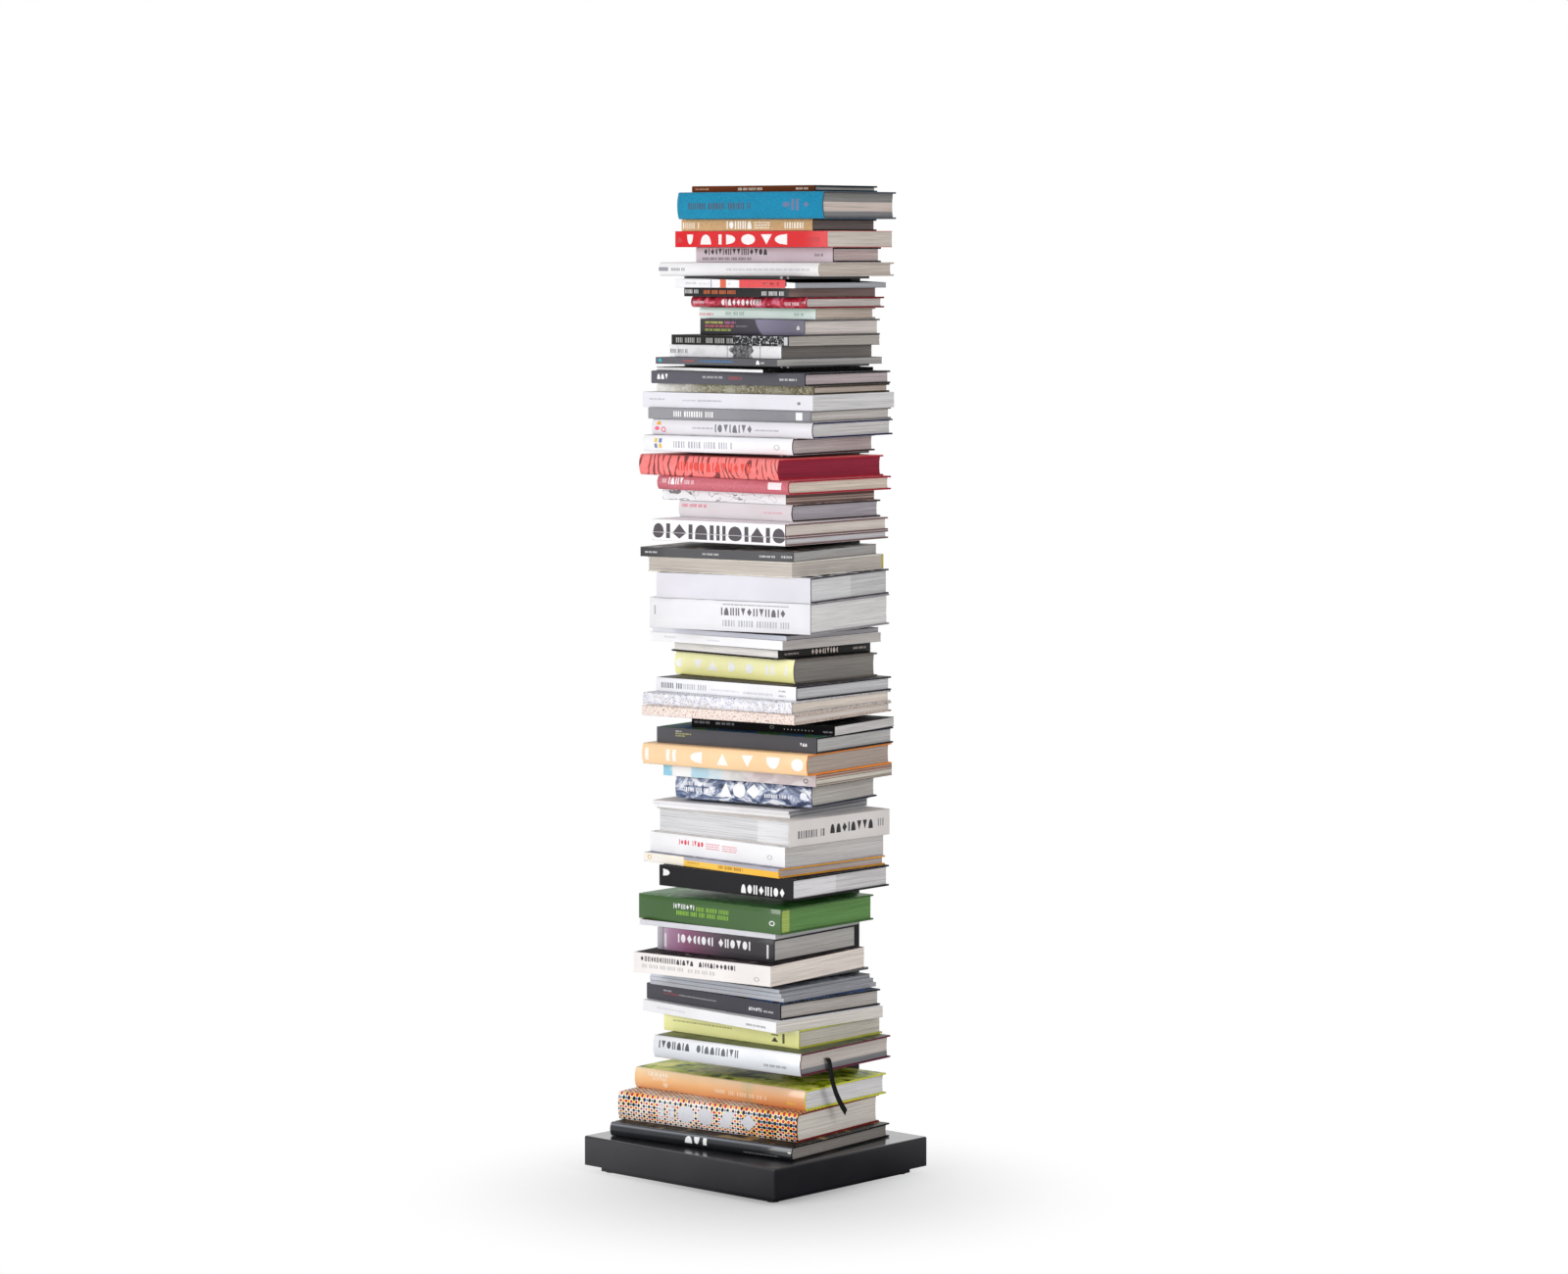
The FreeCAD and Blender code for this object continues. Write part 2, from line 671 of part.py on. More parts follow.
def draw_middle_box(sketch, half_wide, half_high, wide, high):
    """A rectangle about the sketch's origin."""
    first = draw_box(sketch, -half_wide, half_wide, -half_high, half_high)
    sketch.addConstraint(Sketcher.Constraint("Symmetric", first, 1, first + 1, 2, -1, 1))
    hold(sketch, "DistanceX", first, 1, first, 2, wide)
    hold(sketch, "DistanceY", first + 1, 1, first + 1, 2, high)


column = doc.addObject("PartDesign::Body", "column_body")
place(column, "0", "Levels.column_face + Sizes.column_depth / 2", "Levels.foot_top")
column_height = "(Levels.column_top - Sizes.cap_thickness - Levels.foot_top)"

outer_sketch = new_sketch(column, "column_outline", "XY_Plane")
draw_middle_box(
    outer_sketch,
    size("column_width") / 2,
    size("column_depth") / 2,
    "Sizes.column_width",
    "Sizes.column_depth",
)
column_pad = column.newObject("PartDesign::Pad", "column_pad")
column_pad.Profile = outer_sketch
column_pad.setExpression("Length", column_height)
doc.recompute()

column_round = column.newObject("PartDesign::Fillet", "column_round")
upright_edges = []
for index, edge in enumerate(column_pad.Shape.Edges, start=1):
    if runs_along(edge, 2):
        upright_edges.append("Edge" + str(index))
column_round.Base = (column_pad, upright_edges)
column_round.setExpression("Radius", "Sizes.column_edge_radius")
doc.recompute()

bore_sketch = new_sketch(column, "column_bore_outline", "XY_Plane")
draw_middle_box(
    bore_sketch,
    size("column_width") / 2 - size("column_wall"),
    size("column_depth") / 2 - size("column_wall"),
    "Sizes.column_width - 2 * Sizes.column_wall",
    "Sizes.column_depth - 2 * Sizes.column_wall",
)
column_bore = column.newObject("PartDesign::Pocket", "column_bore")
column_bore.Profile = bore_sketch
column_bore.Reversed = True
column_bore.setExpression("Length", column_height)
doc.recompute()

# a pair of slots for each shelf, tall enough to let the hooks in before the shelf drops
slot_sketch = new_sketch(column, "hook_slot_outline", "XZ_Plane")
slot_low = level("shelf_top_01") - size("shelf_plate") - level("foot_top")
slot_high = slot_low + size("shelf_plate") + size("hook_drop") + size("hook_gap")
slot_near = size("hook_spacing") / 2 - size("hook_width") / 2 - size("hook_gap")
slot_far = slot_near + size("hook_width") + 2 * size("hook_gap")
left_slot = draw_box(slot_sketch, -slot_far, -slot_near, slot_low, slot_high)
right_slot = draw_box(slot_sketch, slot_near, slot_far, slot_low, slot_high)
near_formula = "Sizes.hook_spacing / 2 - Sizes.hook_width / 2 - Sizes.hook_gap"
hold(slot_sketch, "DistanceX", left_slot, 2, -1, 1, near_formula)
hold(slot_sketch, "DistanceX", -1, 1, right_slot, 1, near_formula)
for slot in (left_slot, right_slot):
    hold(slot_sketch, "DistanceX", slot, 1, slot, 2, "Sizes.hook_width + 2 * Sizes.hook_gap")
    hold(
        slot_sketch,
        "DistanceY",
        -1,
        1,
        slot,
        1,
        "Levels.shelf_top_01 - Sizes.shelf_plate - Levels.foot_top",
    )
    hold(
        slot_sketch,
        "DistanceY",
        slot + 1,
        1,
        slot + 1,
        2,
        "Sizes.shelf_plate + Sizes.hook_drop + Sizes.hook_gap",
    )
column_slot = column.newObject("PartDesign::Pocket", "column_slot")
column_slot.Profile = slot_sketch
column_slot.Reversed = True
column_slot.setExpression("Length", "Sizes.column_depth")
doc.recompute()

column_slots = column.newObject("PartDesign::LinearPattern", "column_slots")
column_slots.Originals = [column_slot]
column_slots.Direction = (slot_sketch, ["V_Axis"])
column_slots.Occurrences = shelf_count
column_slots.setExpression("Length", "(" + str(shelf_count) + " - 1) * Levels.shelf_pitch")
column.Tip = column_slots
parts["column"] = column

cap_lid = make_box(
    "cap_lid",
    "Sizes.column_width",
    "Sizes.column_depth",
    "Sizes.cap_thickness",
    "-Sizes.column_width / 2",
    "Levels.column_face",
    "Levels.column_top - Sizes.cap_thickness",
)
plug_inset = "(Sizes.column_wall + Sizes.cap_gap)"
cap_plug = make_box(
    "cap_plug",
    "Sizes.column_width - 2 * " + plug_inset,
    "Sizes.column_depth - 2 * " + plug_inset,
    "Sizes.cap_plug",
    "-Sizes.column_width / 2 + " + plug_inset,
    "Levels.column_face + " + plug_inset,
    "Levels.column_top - Sizes.cap_thickness - Sizes.cap_plug",
)
cap_round = round_edges(
    "cap_round", cap_lid, size("column_edge_radius"), lambda edge: runs_along(edge, 2)
)
parts["column_cap"] = make_fuse("cap_whole", [cap_round, cap_plug])

# Shelves: plate folded down at the back, with two hooks that hang in the column's slots.
def make_shelf(tag):
    top = "Levels.shelf_top_" + tag
    low = level("shelf_top_" + tag) - size("shelf_plate")
    front = level("column_face") - size("shelf_depth")
    inside = level("column_face") - size("shelf_plate")
    plate = make_box(
        "shelf_plate_" + tag,
        "Sizes.shelf_width",
        "Sizes.shelf_depth",
        "Sizes.shelf_plate",
        "-Sizes.shelf_width / 2",
        "Levels.column_face - Sizes.shelf_depth",
        top + " - Sizes.shelf_plate",
    )
    plate_round = round_edges(
        "shelf_round_" + tag,
        plate,
        size("shelf_corner_radius"),
        lambda edge: runs_along(edge, 2) and abs(edge.CenterOfMass.y - front) < size("hook_gap"),
    )
    flange = make_box(
        "shelf_flange_" + tag,
        "Sizes.flange_width",
        "Sizes.shelf_plate",
        "Sizes.flange_height",
        "-Sizes.flange_width / 2",
        "Levels.column_face - Sizes.shelf_plate",
        top + " - Sizes.flange_height",
    )
    flange_round = round_edges(
        "shelf_flange_round_" + tag,
        flange,
        size("flange_corner_radius"),
        lambda edge: runs_along(edge, 1) and edge.CenterOfMass.z < low - size("shelf_plate"),
    )
    folded = make_fuse("shelf_folded_" + tag, [plate_round, flange_round])

    def on_bend(edge):
        middle = edge.CenterOfMass
        at_corner = abs(middle.y - inside) < size("hook_gap") and abs(middle.z - low) < size("hook_gap")
        return at_corner and runs_along(edge, 0) and abs(middle.x) < size("hook_gap")

    bent = round_edges("shelf_bent_" + tag, folded, size("shelf_bend_radius"), on_bend)
    pieces = [bent]
    for side, sign in (("left", "-"), ("right", "")):
        left = sign + "Sizes.hook_spacing / 2 - Sizes.hook_width / 2"
        neck = "Sizes.shelf_plate + Sizes.column_wall + Sizes.hook_gap + Sizes.hook_plate"
        pieces.append(
            make_box(
                "hook_neck_" + side + "_" + tag,
                "Sizes.hook_width",
                neck,
                "Sizes.shelf_plate",
                left,
                "Levels.column_face - Sizes.shelf_plate",
                top + " - Sizes.shelf_plate",
            )
        )
        pieces.append(
            make_box(
                "hook_tongue_" + side + "_" + tag,
                "Sizes.hook_width",
                "Sizes.hook_plate",
                "Sizes.shelf_plate + Sizes.hook_drop",
                left,
                "Levels.column_face + Sizes.column_wall + Sizes.hook_gap",
                top + " - Sizes.shelf_plate - Sizes.hook_drop",
            )
        )
    return make_fuse("shelf_whole_" + tag, pieces)


for index in range(1, shelf_count + 1):
    tag = format(index, "02d")
    parts["shelf_" + tag] = make_shelf(tag)


# Books: a case of two boards and a spine around a block of pages. The case is a box with the
# block's room cut out of it, open at the fore edge and at both ends.
def make_book(name, binding, stack_bottom):
    length = "Sizes." + name + "_length"
    depth = "Sizes." + name + "_depth"
    thickness = "Sizes." + name + "_thickness"
    hard = binding in ("round", "flat", "turned", "backward")
    board = "Sizes.board" if hard else "Sizes.soft_cover"
    square = "Sizes.board_square" if hard else "Sizes.soft_square"
    bulge = "Sizes.spine_bulge" if binding == "round" else "0 * Sizes.spine_bulge"
    front = "(-" + depth + " + " + bulge + ")"
    outer = make_box(
        name + "_outer",
        length,
        "-" + front,
        thickness,
        "-" + length + " / 2",
        front,
        "0",
    )
    beyond = str(overrun_share) + " * " + length
    if binding.startswith("turned"):
        # the spine is the right-hand end, and the pages open to the left
        hollow = make_box(
            name + "_hollow",
            length + " - " + board + " + " + beyond,
            depth + " + 2 * " + beyond,
            thickness + " - 2 * " + board,
            "-" + length + " / 2 - " + beyond,
            "-" + depth + " - " + beyond,
            board,
        )
        pages = make_box(
            name + "_pages",
            length + " - " + board + " - " + square,
            depth + " - 2 * " + square,
            thickness + " - 2 * " + board,
            "-" + length + " / 2 + " + square,
            "-" + depth + " + " + square,
            board,
        )
    elif binding == "backward":
        # the spine lies at the column, and the pages open to the front
        hollow = make_box(
            name + "_hollow",
            length + " + 2 * " + beyond,
            depth + " - " + board + " + " + beyond,
            thickness + " - 2 * " + board,
            "-" + length + " / 2 - " + beyond,
            "-" + depth + " - " + beyond,
            board,
        )
        pages = make_box(
            name + "_pages",
            length + " - 2 * " + square,
            depth + " - " + board + " - " + square,
            thickness + " - 2 * " + board,
            "-" + length + " / 2 + " + square,
            "-" + depth + " + " + square,
            board,
        )
    else:
        hollow = make_box(
            name + "_hollow",
            length + " + 2 * " + beyond,
            "-" + front + " - " + board + " + " + beyond,
            thickness + " - 2 * " + board,
            "-" + length + " / 2 - " + beyond,
            front + " + " + board,
            board,
        )
        pages = make_box(
            name + "_pages",
            length + " - 2 * " + square,
            "-" + front + " - " + board + " - " + square,
            thickness + " - 2 * " + board,
            "-" + length + " / 2 + " + square,
            front + " + " + board,
            board,
        )
    case = make_cut(name + "_case", outer, hollow)
    if binding == "round":
        # the rounded back of the spine is a slice of a lying cylinder
        slab = make_box(
            name + "_slab",
            length,
            bulge,
            thickness,
            "-" + length + " / 2",
            "-" + depth,
            "0",
        )
        curve = doc.addObject("Part::Cylinder", name + "_curve")
        curve.Placement.Rotation = FreeCAD.Rotation(FreeCAD.Vector(0, 1, 0), 90)
        radius = "((" + thickness + "^2 / 4 + " + bulge + "^2) / (2 * " + bulge + "))"
        bind(curve, {"Radius": radius, "Height": length})
        place(curve, "-" + length + " / 2", "-" + depth + " + " + radius, thickness + " / 2")
        case = make_fuse(name + "_rounded", [case, make_common(name + "_back", [slab, curve])])
    book = make_group(name + "_book", [case, pages])
    angle = "Sizes." + name + "_angle"
    shift = "Sizes." + name + "_shift"
    book.Placement.Rotation = FreeCAD.Rotation(FreeCAD.Vector(0, 0, 1), 1)
    # the back edge is pushed against the column as far as the turned corner lets it
    lean = "tan(abs(" + angle + ") * 1 deg) * Sizes.column_width / 2"
    slope = "tan(" + angle + " * 1 deg) * " + shift
    reach = "Levels.book_face - Sizes." + name + "_pull - " + lean + " + " + slope
    place(book, shift, reach, stack_bottom)
    book.setExpression("Placement.Rotation.Angle", angle)
    return book


books = {}
for index, stack in enumerate(stacks):
    if index == 0:
        bottom = "Levels.base_top + Sizes.stack_lift"
    else:
        bottom = "Levels.shelf_top_" + format(index, "02d") + " + Sizes.stack_lift"
    for name in stack:
        books[name] = make_book(name, volumes[name]["binding"], bottom)
        bottom = books[name].Name + ".Placement.Base.z / 1 mm + Sizes." + name + "_thickness"
for node, names in book_groups.items():
    parts[node] = make_group(node + "_set", [books[name] for name in names])
doc.recompute()


# Ribbon: a flat strip that leaves the page ends of the silver book, falls past its lower
# board and swings to the back, lofted through short cross sections.
def ribbon_section(point, along, out):
    across = along.cross(out)
    across.normalize()
    out = across.cross(along)
    out.normalize()
    half_wide = across * (size("ribbon_width") / 2)
    half_thick = out * (size("ribbon_thickness") / 2)
    corners = [
        point - half_wide - half_thick,
        point + half_wide - half_thick,
        point + half_wide + half_thick,
        point - half_wide + half_thick,
    ]
    return Part.makePolygon(corners + corners[:1])


page_end = size("silver_length") / 2 - size("board_square")
room = size("board_square") + size("ribbon_thickness") / 2
start = FreeCAD.Vector(
    page_end,
    -ribbon_exit_depth_share * size("silver_depth"),
    ribbon_exit_height_share * size("silver_thickness"),
)
ribbon_points = []
for out_share, swing_share, drop_share in ribbon_path_shares:
    offset = FreeCAD.Vector(
        out_share * (room + size("ribbon_stand_off")),
        swing_share * size("ribbon_swing"),
        -drop_share * size("ribbon_drop"),
    )
    ribbon_points.append(start + offset)
sections = []
for index, point in enumerate(ribbon_points):
    before = ribbon_points[max(index - 1, 0)]
    after = ribbon_points[min(index + 1, len(ribbon_points) - 1)]
    along = after - before
    if index == 0:
        along = FreeCAD.Vector(1, 0, 0)
    out = FreeCAD.Vector(0, 0, 1) if index == 0 else FreeCAD.Vector(1, 0, 0)
    sections.append(ribbon_section(point, along, out))
ribbon = doc.addObject("Part::Feature", "ribbon")
ribbon.Shape = Part.makeLoft(sections, True, True)
ribbon.Placement = books["silver"].Placement
ribbon_length = sum(
    (after - before).Length for before, after in zip(ribbon_points, ribbon_points[1:])
)
print("ribbon length", round(ribbon_length, 1))
parts["ribbon_marker"] = ribbon

for node, item in parts.items():
    item.Label = node
doc.recompute()

failed = [item.Name for item in doc.Objects if "Invalid" in item.State or "Error" in item.State]
if failed:
    raise RuntimeError("failed objects: " + ", ".join(failed))
for node, item in parts.items():
    if item.Shape.isNull() or not item.Shape.isValid() or not item.Shape.Solids:
        raise RuntimeError("bad shape: " + node)

os.makedirs("parts", exist_ok=True)
whole = FreeCAD.BoundBox()
for node, item in parts.items():
    item.Shape.exportStep("parts/" + node + ".step")
    whole.add(item.Shape.BoundBox)
print("nodes", len(parts), "books", len(books))
print("box", whole)
print("pitch", level("shelf_pitch"), "first shelf", level("shelf_top_01"))
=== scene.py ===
import bpy, bmesh, json, math, random
from mathutils import Matrix, Vector


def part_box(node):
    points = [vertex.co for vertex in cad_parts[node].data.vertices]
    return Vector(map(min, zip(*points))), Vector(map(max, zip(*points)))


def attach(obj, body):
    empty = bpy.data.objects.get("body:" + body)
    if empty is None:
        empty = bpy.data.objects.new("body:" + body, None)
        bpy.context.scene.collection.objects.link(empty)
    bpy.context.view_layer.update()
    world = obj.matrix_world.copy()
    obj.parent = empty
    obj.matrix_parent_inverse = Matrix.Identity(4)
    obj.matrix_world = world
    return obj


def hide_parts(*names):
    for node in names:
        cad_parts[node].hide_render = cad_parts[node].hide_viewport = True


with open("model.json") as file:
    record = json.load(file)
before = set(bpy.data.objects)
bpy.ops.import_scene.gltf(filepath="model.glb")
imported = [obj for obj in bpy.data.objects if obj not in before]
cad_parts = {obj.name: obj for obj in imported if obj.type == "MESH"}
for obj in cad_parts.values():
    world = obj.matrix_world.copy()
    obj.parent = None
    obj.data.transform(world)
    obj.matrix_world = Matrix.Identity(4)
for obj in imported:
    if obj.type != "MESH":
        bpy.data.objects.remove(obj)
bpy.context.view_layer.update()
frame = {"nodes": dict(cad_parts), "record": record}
print("steel and book solids loaded")

mm = 0.001


# colours are written as picked on screen, from 0 to 255
def paint(rgb):                        # made linear, for a socket
    out = []
    for channel in rgb:
        c = channel / 255
        out.append(c / 12.92 if c <= 0.04045 else ((c + 0.055) / 1.055) ** 2.4)
    return (out[0], out[1], out[2], 1.0)


def dimmed(rgb, share):
    return tuple(int(channel * share) for channel in rgb)


def shifted(rgb, step):
    return tuple(min(255, channel + step) for channel in rgb)


def evenly(stops):                     # colours without places get even ones, from 0 to 1
    if isinstance(stops[0][1], tuple):
        return stops
    return [(k / (len(stops) - 1), rgb) for k, rgb in enumerate(stops)]


# small helpers for wiring shader nodes
def wire(source, target):
    source.id_data.links.new(source, target)


def addNode(kind, feeds, **settings):  # put in the tree that its feeds come from
    tree = next(value.id_data for value in feeds.values() if isinstance(value, bpy.types.NodeSocket))
    node = tree.nodes.new(kind)
    for key, value in settings.items():
        setattr(node, key, value)
    for socket, value in feeds.items():
        if isinstance(value, bpy.types.NodeSocket):
            wire(value, node.inputs[socket])
        else:
            node.inputs[socket].default_value = value
    return node


def calc(how, a, b=0.0):
    return addNode("ShaderNodeMath", {0: a, 1: b}, operation=how).outputs[0]


def plus(a, b):
    return calc("ADD", a, b)


def minus(a, b):
    return calc("SUBTRACT", a, b)


def times(a, b):
    return calc("MULTIPLY", a, b)


def apart(a, b):                       # how far two values are from each other
    return calc("ABSOLUTE", minus(a, b))


def vector(how, *places):
    return addNode("ShaderNodeVectorMath", dict(enumerate(places)), operation=how).outputs


def distance(a, b):
    return vector("DISTANCE", a, b)["Value"]


def stretched(where, x, y, z):
    return vector("MULTIPLY", where, (x, y, z))[0]


def splitPlace(where):                 # x, y and z
    return addNode("ShaderNodeSeparateXYZ", {0: where}).outputs


def flatPlace(x, y):
    return addNode("ShaderNodeCombineXYZ", {0: x, 1: y}).outputs[0]


def span(value, low, high, first=0.0, last=1.0):
    return addNode("ShaderNodeMapRange", {0: value, 1: low, 2: high, 3: first, 4: last}).outputs[0]


def grain(where, scale, detail=2.0, rough=0.5, bend=0.0):
    feeds = {"Vector": where, "Scale": scale, "Detail": detail, "Roughness": rough, "Distortion": bend}
    return addNode("ShaderNodeTexNoise", feeds).outputs[0]


def cells(where, scale, unevenness):   # a share that picks each cell, and the distance from its middle
    feeds = {"Vector": where, "Scale": scale, "Randomness": unevenness}
    node = addNode("ShaderNodeTexVoronoi", feeds, voronoi_dimensions="2D")
    pick = addNode("ShaderNodeSeparateColor", {0: node.outputs["Color"]}).outputs[0]
    return pick, node.outputs["Distance"]


def blendColours(share, low, high, how="MIX"):
    feeds = {0: share, 6: low, 7: high}
    return addNode("ShaderNodeMix", feeds, data_type="RGBA", blend_type=how).outputs[2]


def tinted(tone, cast, share=1.0):
    return blendColours(share, tone, cast, "MULTIPLY")


def ramp(share, stops, how="LINEAR"):
    node = addNode("ShaderNodeValToRGB", {0: share})
    node.color_ramp.interpolation = how
    spots = node.color_ramp.elements
    while len(spots) < len(stops):
        spots.new(0.5)
    for spot, (place, rgb) in zip(spots, stops):
        spot.position = place
    for spot, (place, rgb) in zip(spots, stops):
        spot.color = paint(rgb)
    return node.outputs[0]


def startFinish(name, roughness, **sockets):
    mat = bpy.data.materials.new(name)
    mat.use_nodes = True
    tree = mat.node_tree
    shader = tree.nodes["Principled BSDF"]
    shader.inputs["Roughness"].default_value = roughness
    for socket, value in sockets.items():
        shader.inputs[socket.replace("_", " ")].default_value = value
    where = tree.nodes.new("ShaderNodeTexCoord").outputs["Object"]
    return mat, shader, where


def setTone(shader, tone):
    wire(tone, shader.inputs["Base Color"])


def roughen(shader, height, strength, depth):
    feeds = {"Height": height, "Strength": strength, "Distance": depth}
    wire(addNode("ShaderNodeBump", feeds).outputs[0], shader.inputs["Normal"])


# the camera stands where the photograph was taken from, about 1.5 m above the floor
camera = {
    "lens": 108, "sensor": 36, "sight": 200,
    "turn": 42.21, "tilt": 4.70, "away": 7.576, "aside": 0.0464, "height": 1.4995,
}


def placeCamera(settings):
    turn, tilt = math.radians(settings["turn"]), math.radians(settings["tilt"])
    ahead = Vector((-math.sin(turn), math.cos(turn), 0))
    right = Vector((math.cos(turn), math.sin(turn), 0))
    look = ahead * math.cos(tilt) - Vector((0, 0, math.sin(tilt)))
    up = right.cross(look)
    data = bpy.data.cameras.new("camera")
    data.lens, data.sensor_width, data.sensor_fit = settings["lens"], settings["sensor"], "HORIZONTAL"
    data.clip_end = settings["sight"]
    holder = bpy.data.objects.new("camera", data)
    bpy.context.collection.objects.link(holder)
    axes = Matrix((right, up, -look)).transposed().to_4x4()
    spot = -ahead * settings["away"] + right * settings["aside"] + Vector((0, 0, settings["height"]))
    holder.matrix_world = Matrix.Translation(spot) @ axes
    bpy.context.scene.camera = holder


placeCamera(camera)
print("camera placed")

# studio: a pale floor that fades into white, a large lamp at the front and a second one at the right
studio = {
    "floorTone": (240, 240, 240), "floorRings": (0.4, 0.8, 1.6, 3.2, 8, 20, 60, 150), "floorCorners": 48,
    "fadeCentre": (0.12, -0.12, 0), "fadeStart": 0.0, "fadeEnd": 0.6, "floorGlow": 0.25,
    # the floor as glossy faces see it: a painted reflection, a glow painted dark close to the base and bright
    # further out
    "mirrorCentre": (0.42, -0.1, 0), "mirrorStart": 0.3, "mirrorEnd": 0.98,
    "nearMirror": 0.02, "farMirror": 0.8,
    "roomLight": 0.43, "roomTone": (250, 250, 255),
    # the room as glossy faces see it: white behind, dimmer at the front and at the right
    "glossLean": (-0.67, 0.44, 0), "glossMiddle": 0.23, "leastGloss": 0.08,
    "lamps": [
        {"name": "keyLamp", "at": (-0.9, -5.1, 1.75), "to": (0, 0, 0.8), "size": (2.4, 2.8), "watts": 150},
        {"name": "fillLamp", "at": (4.4, -1.1, 1.9), "to": (0, 0, 0.8), "size": (1.8, 2.6), "watts": 78},
    ],
}


def makeRoom(settings):
    world = bpy.context.scene.world or bpy.data.worlds.new("studio")
    bpy.context.scene.world = world
    world.use_nodes = True
    tree = world.node_tree
    tree.nodes.clear()
    ray = tree.nodes.new("ShaderNodeLightPath").outputs
    # what the camera, a reflection or glass sees straight is white, and the rest of the light is plain
    direct = calc("MAXIMUM", ray["Is Camera Ray"], ray["Is Glossy Ray"])
    direct = calc("MAXIMUM", direct, ray["Is Transmission Ray"])
    heading = tree.nodes.new("ShaderNodeTexCoord").outputs["Generated"]
    lean = vector("DOT_PRODUCT", heading, settings["glossLean"])["Value"]
    least = settings["leastGloss"]
    mirrored = span(plus(lean, settings["glossMiddle"]), least, 1.0, least, 1.0)
    dimming = times(ray["Is Glossy Ray"], minus(1.0, mirrored))
    strength = minus(span(direct, 0, 1, settings["roomLight"], 1.0), dimming)
    tone = blendColours(direct, paint(settings["roomTone"]), paint((255, 255, 255)))
    back = addNode("ShaderNodeBackground", {"Color": tone, "Strength": strength})
    wire(back.outputs[0], tree.nodes.new("ShaderNodeOutputWorld").inputs[0])


def joinRings(build, rings):           # bands of faces from each closed ring to the next
    faces = []
    for low, high in zip(rings, rings[1:]):
        for i in range(len(low)):
            j = (i + 1) % len(low)
            faces.append(build.faces.new((low[i], low[j], high[j], high[i])))
    return faces


def floorPaint(settings):
    mat, shader, where = startFinish("floorPaint", 0.85, Specular_IOR_Level=0.2)
    tone = settings["floorTone"]
    setTone(shader, ramp(grain(where, 90, 4), [(0.3, shifted(tone, -3)), (0.7, tone)]))
    roughen(shader, grain(where, 260, 3), 0.15, 0.001)
    tree = mat.node_tree
    ray = tree.nodes.new("ShaderNodeLightPath").outputs
    far = distance(where, settings["fadeCentre"])
    feeds = {0: far, 1: settings["fadeStart"], 2: settings["fadeEnd"], 3: settings["floorGlow"], 4: 1.0}
    fade = addNode("ShaderNodeMapRange", feeds, interpolation_type="SMOOTHSTEP").outputs[0]
    # painted reflection: glossy rays see a glow in place of the floor, painted dark near the base and
    # brighter further out
    aside = distance(where, settings["mirrorCentre"])
    start, end = settings["mirrorStart"], settings["mirrorEnd"]
    shine = span(aside, start, end, settings["nearMirror"], settings["farMirror"])
    white = tree.nodes.new("ShaderNodeEmission")
    lit = addNode("ShaderNodeEmission", {"Strength": shine})
    glow = times(fade, ray["Is Camera Ray"])
    seen = addNode("ShaderNodeMixShader", {0: glow, 1: shader.outputs[0], 2: white.outputs[0]})
    look = addNode("ShaderNodeMixShader", {0: ray["Is Glossy Ray"], 1: seen.outputs[0], 2: lit.outputs[0]})
    wire(look.outputs[0], tree.nodes["Material Output"].inputs[0])
    return mat


def makeFloor(settings):
    build = bmesh.new()
    corners = settings["floorCorners"]
    rings = []
    for radius in settings["floorRings"]:
        ring = []
        for k in range(corners):
            angle = k * math.tau / corners
            ring.append(build.verts.new((radius * math.cos(angle), radius * math.sin(angle), 0)))
        rings.append(ring)
    build.faces.new(rings[0])
    joinRings(build, rings[::-1])
    mesh = bpy.data.meshes.new("floor")
    build.to_mesh(mesh)
    build.free()
    mesh.materials.append(floorPaint(settings))
    floor = bpy.data.objects.new("floor", mesh)
    bpy.context.collection.objects.link(floor)


def makeLamp(lamp):
    data = bpy.data.lights.new(lamp["name"], "AREA")
    data.shape, data.energy = "RECTANGLE", lamp["watts"]
    data.size, data.size_y = lamp["size"]
    holder = bpy.data.objects.new(lamp["name"], data)
    bpy.context.collection.objects.link(holder)
    aim = Vector(lamp["to"]) - Vector(lamp["at"])
    holder.matrix_world = Matrix.Translation(lamp["at"]) @ aim.to_track_quat("-Z", "Y").to_matrix().to_4x4()


makeRoom(studio)
makeFloor(studio)
for lamp in studio["lamps"]:
    makeLamp(lamp)
bpy.context.scene.view_settings.view_transform = "Standard"
print("studio lit")

# steel and rubber of the bookcase itself: the imported nodes keep their shapes and get finishes; the columns'
# lacquer is a darker, duller copy, as painted shade
lacquer = {
    "tone": (27, 27, 33), "roughness": 0.34, "gloss": 0.5, "topCoat": 1.0, "blur": 0.16,
    "peel": 0.25, "dust": (120, 120, 118),
}
# painted shade: the columns, deep between the stacks, get a darker copy of the base's lacquer
columnLacquer = {
    "tone": (13, 13, 15), "roughness": 0.42, "gloss": 0.2, "topCoat": 0.12, "blur": 0.36,
    "peel": 0.25, "dust": (60, 60, 58),
}


def lacquerFinish(name, look):         # satin powder coat: fine orange peel, faint dust
    mat, shader, where = startFinish(name, look["roughness"], Coat_Weight=look["topCoat"],
                                     Coat_Roughness=look["blur"], Specular_IOR_Level=look["gloss"])
    clouds = [(0.35, shifted(look["tone"], -3)), (0.65, shifted(look["tone"], 3))]
    base = ramp(grain(where, 9, 3), clouds)
    dust = span(grain(where, 900, 1), 0.74, 0.80)
    setTone(shader, blendColours(times(dust, 0.35), base, paint(look["dust"])))
    smears = times(grain(where, 35, 3), 0.16)
    wire(plus(smears, look["roughness"] - 0.08), shader.inputs["Roughness"])
    roughen(shader, grain(where, 1400, 2), look["peel"], 0.0002)
    return mat


def rolledSteel(name, tone, metal, roughness):         # plate as it comes from the mill, brushed by handling
    mat, shader, where = startFinish(name, roughness, Metallic=metal)
    streak = grain(stretched(where, 30, 900, 400), 1, 3)
    setTone(shader, ramp(streak, [(0.3, dimmed(tone, 0.8)), (0.7, tone)]))
    roughen(shader, grain(where, 300, 5), 0.3, 0.0004)
    return mat


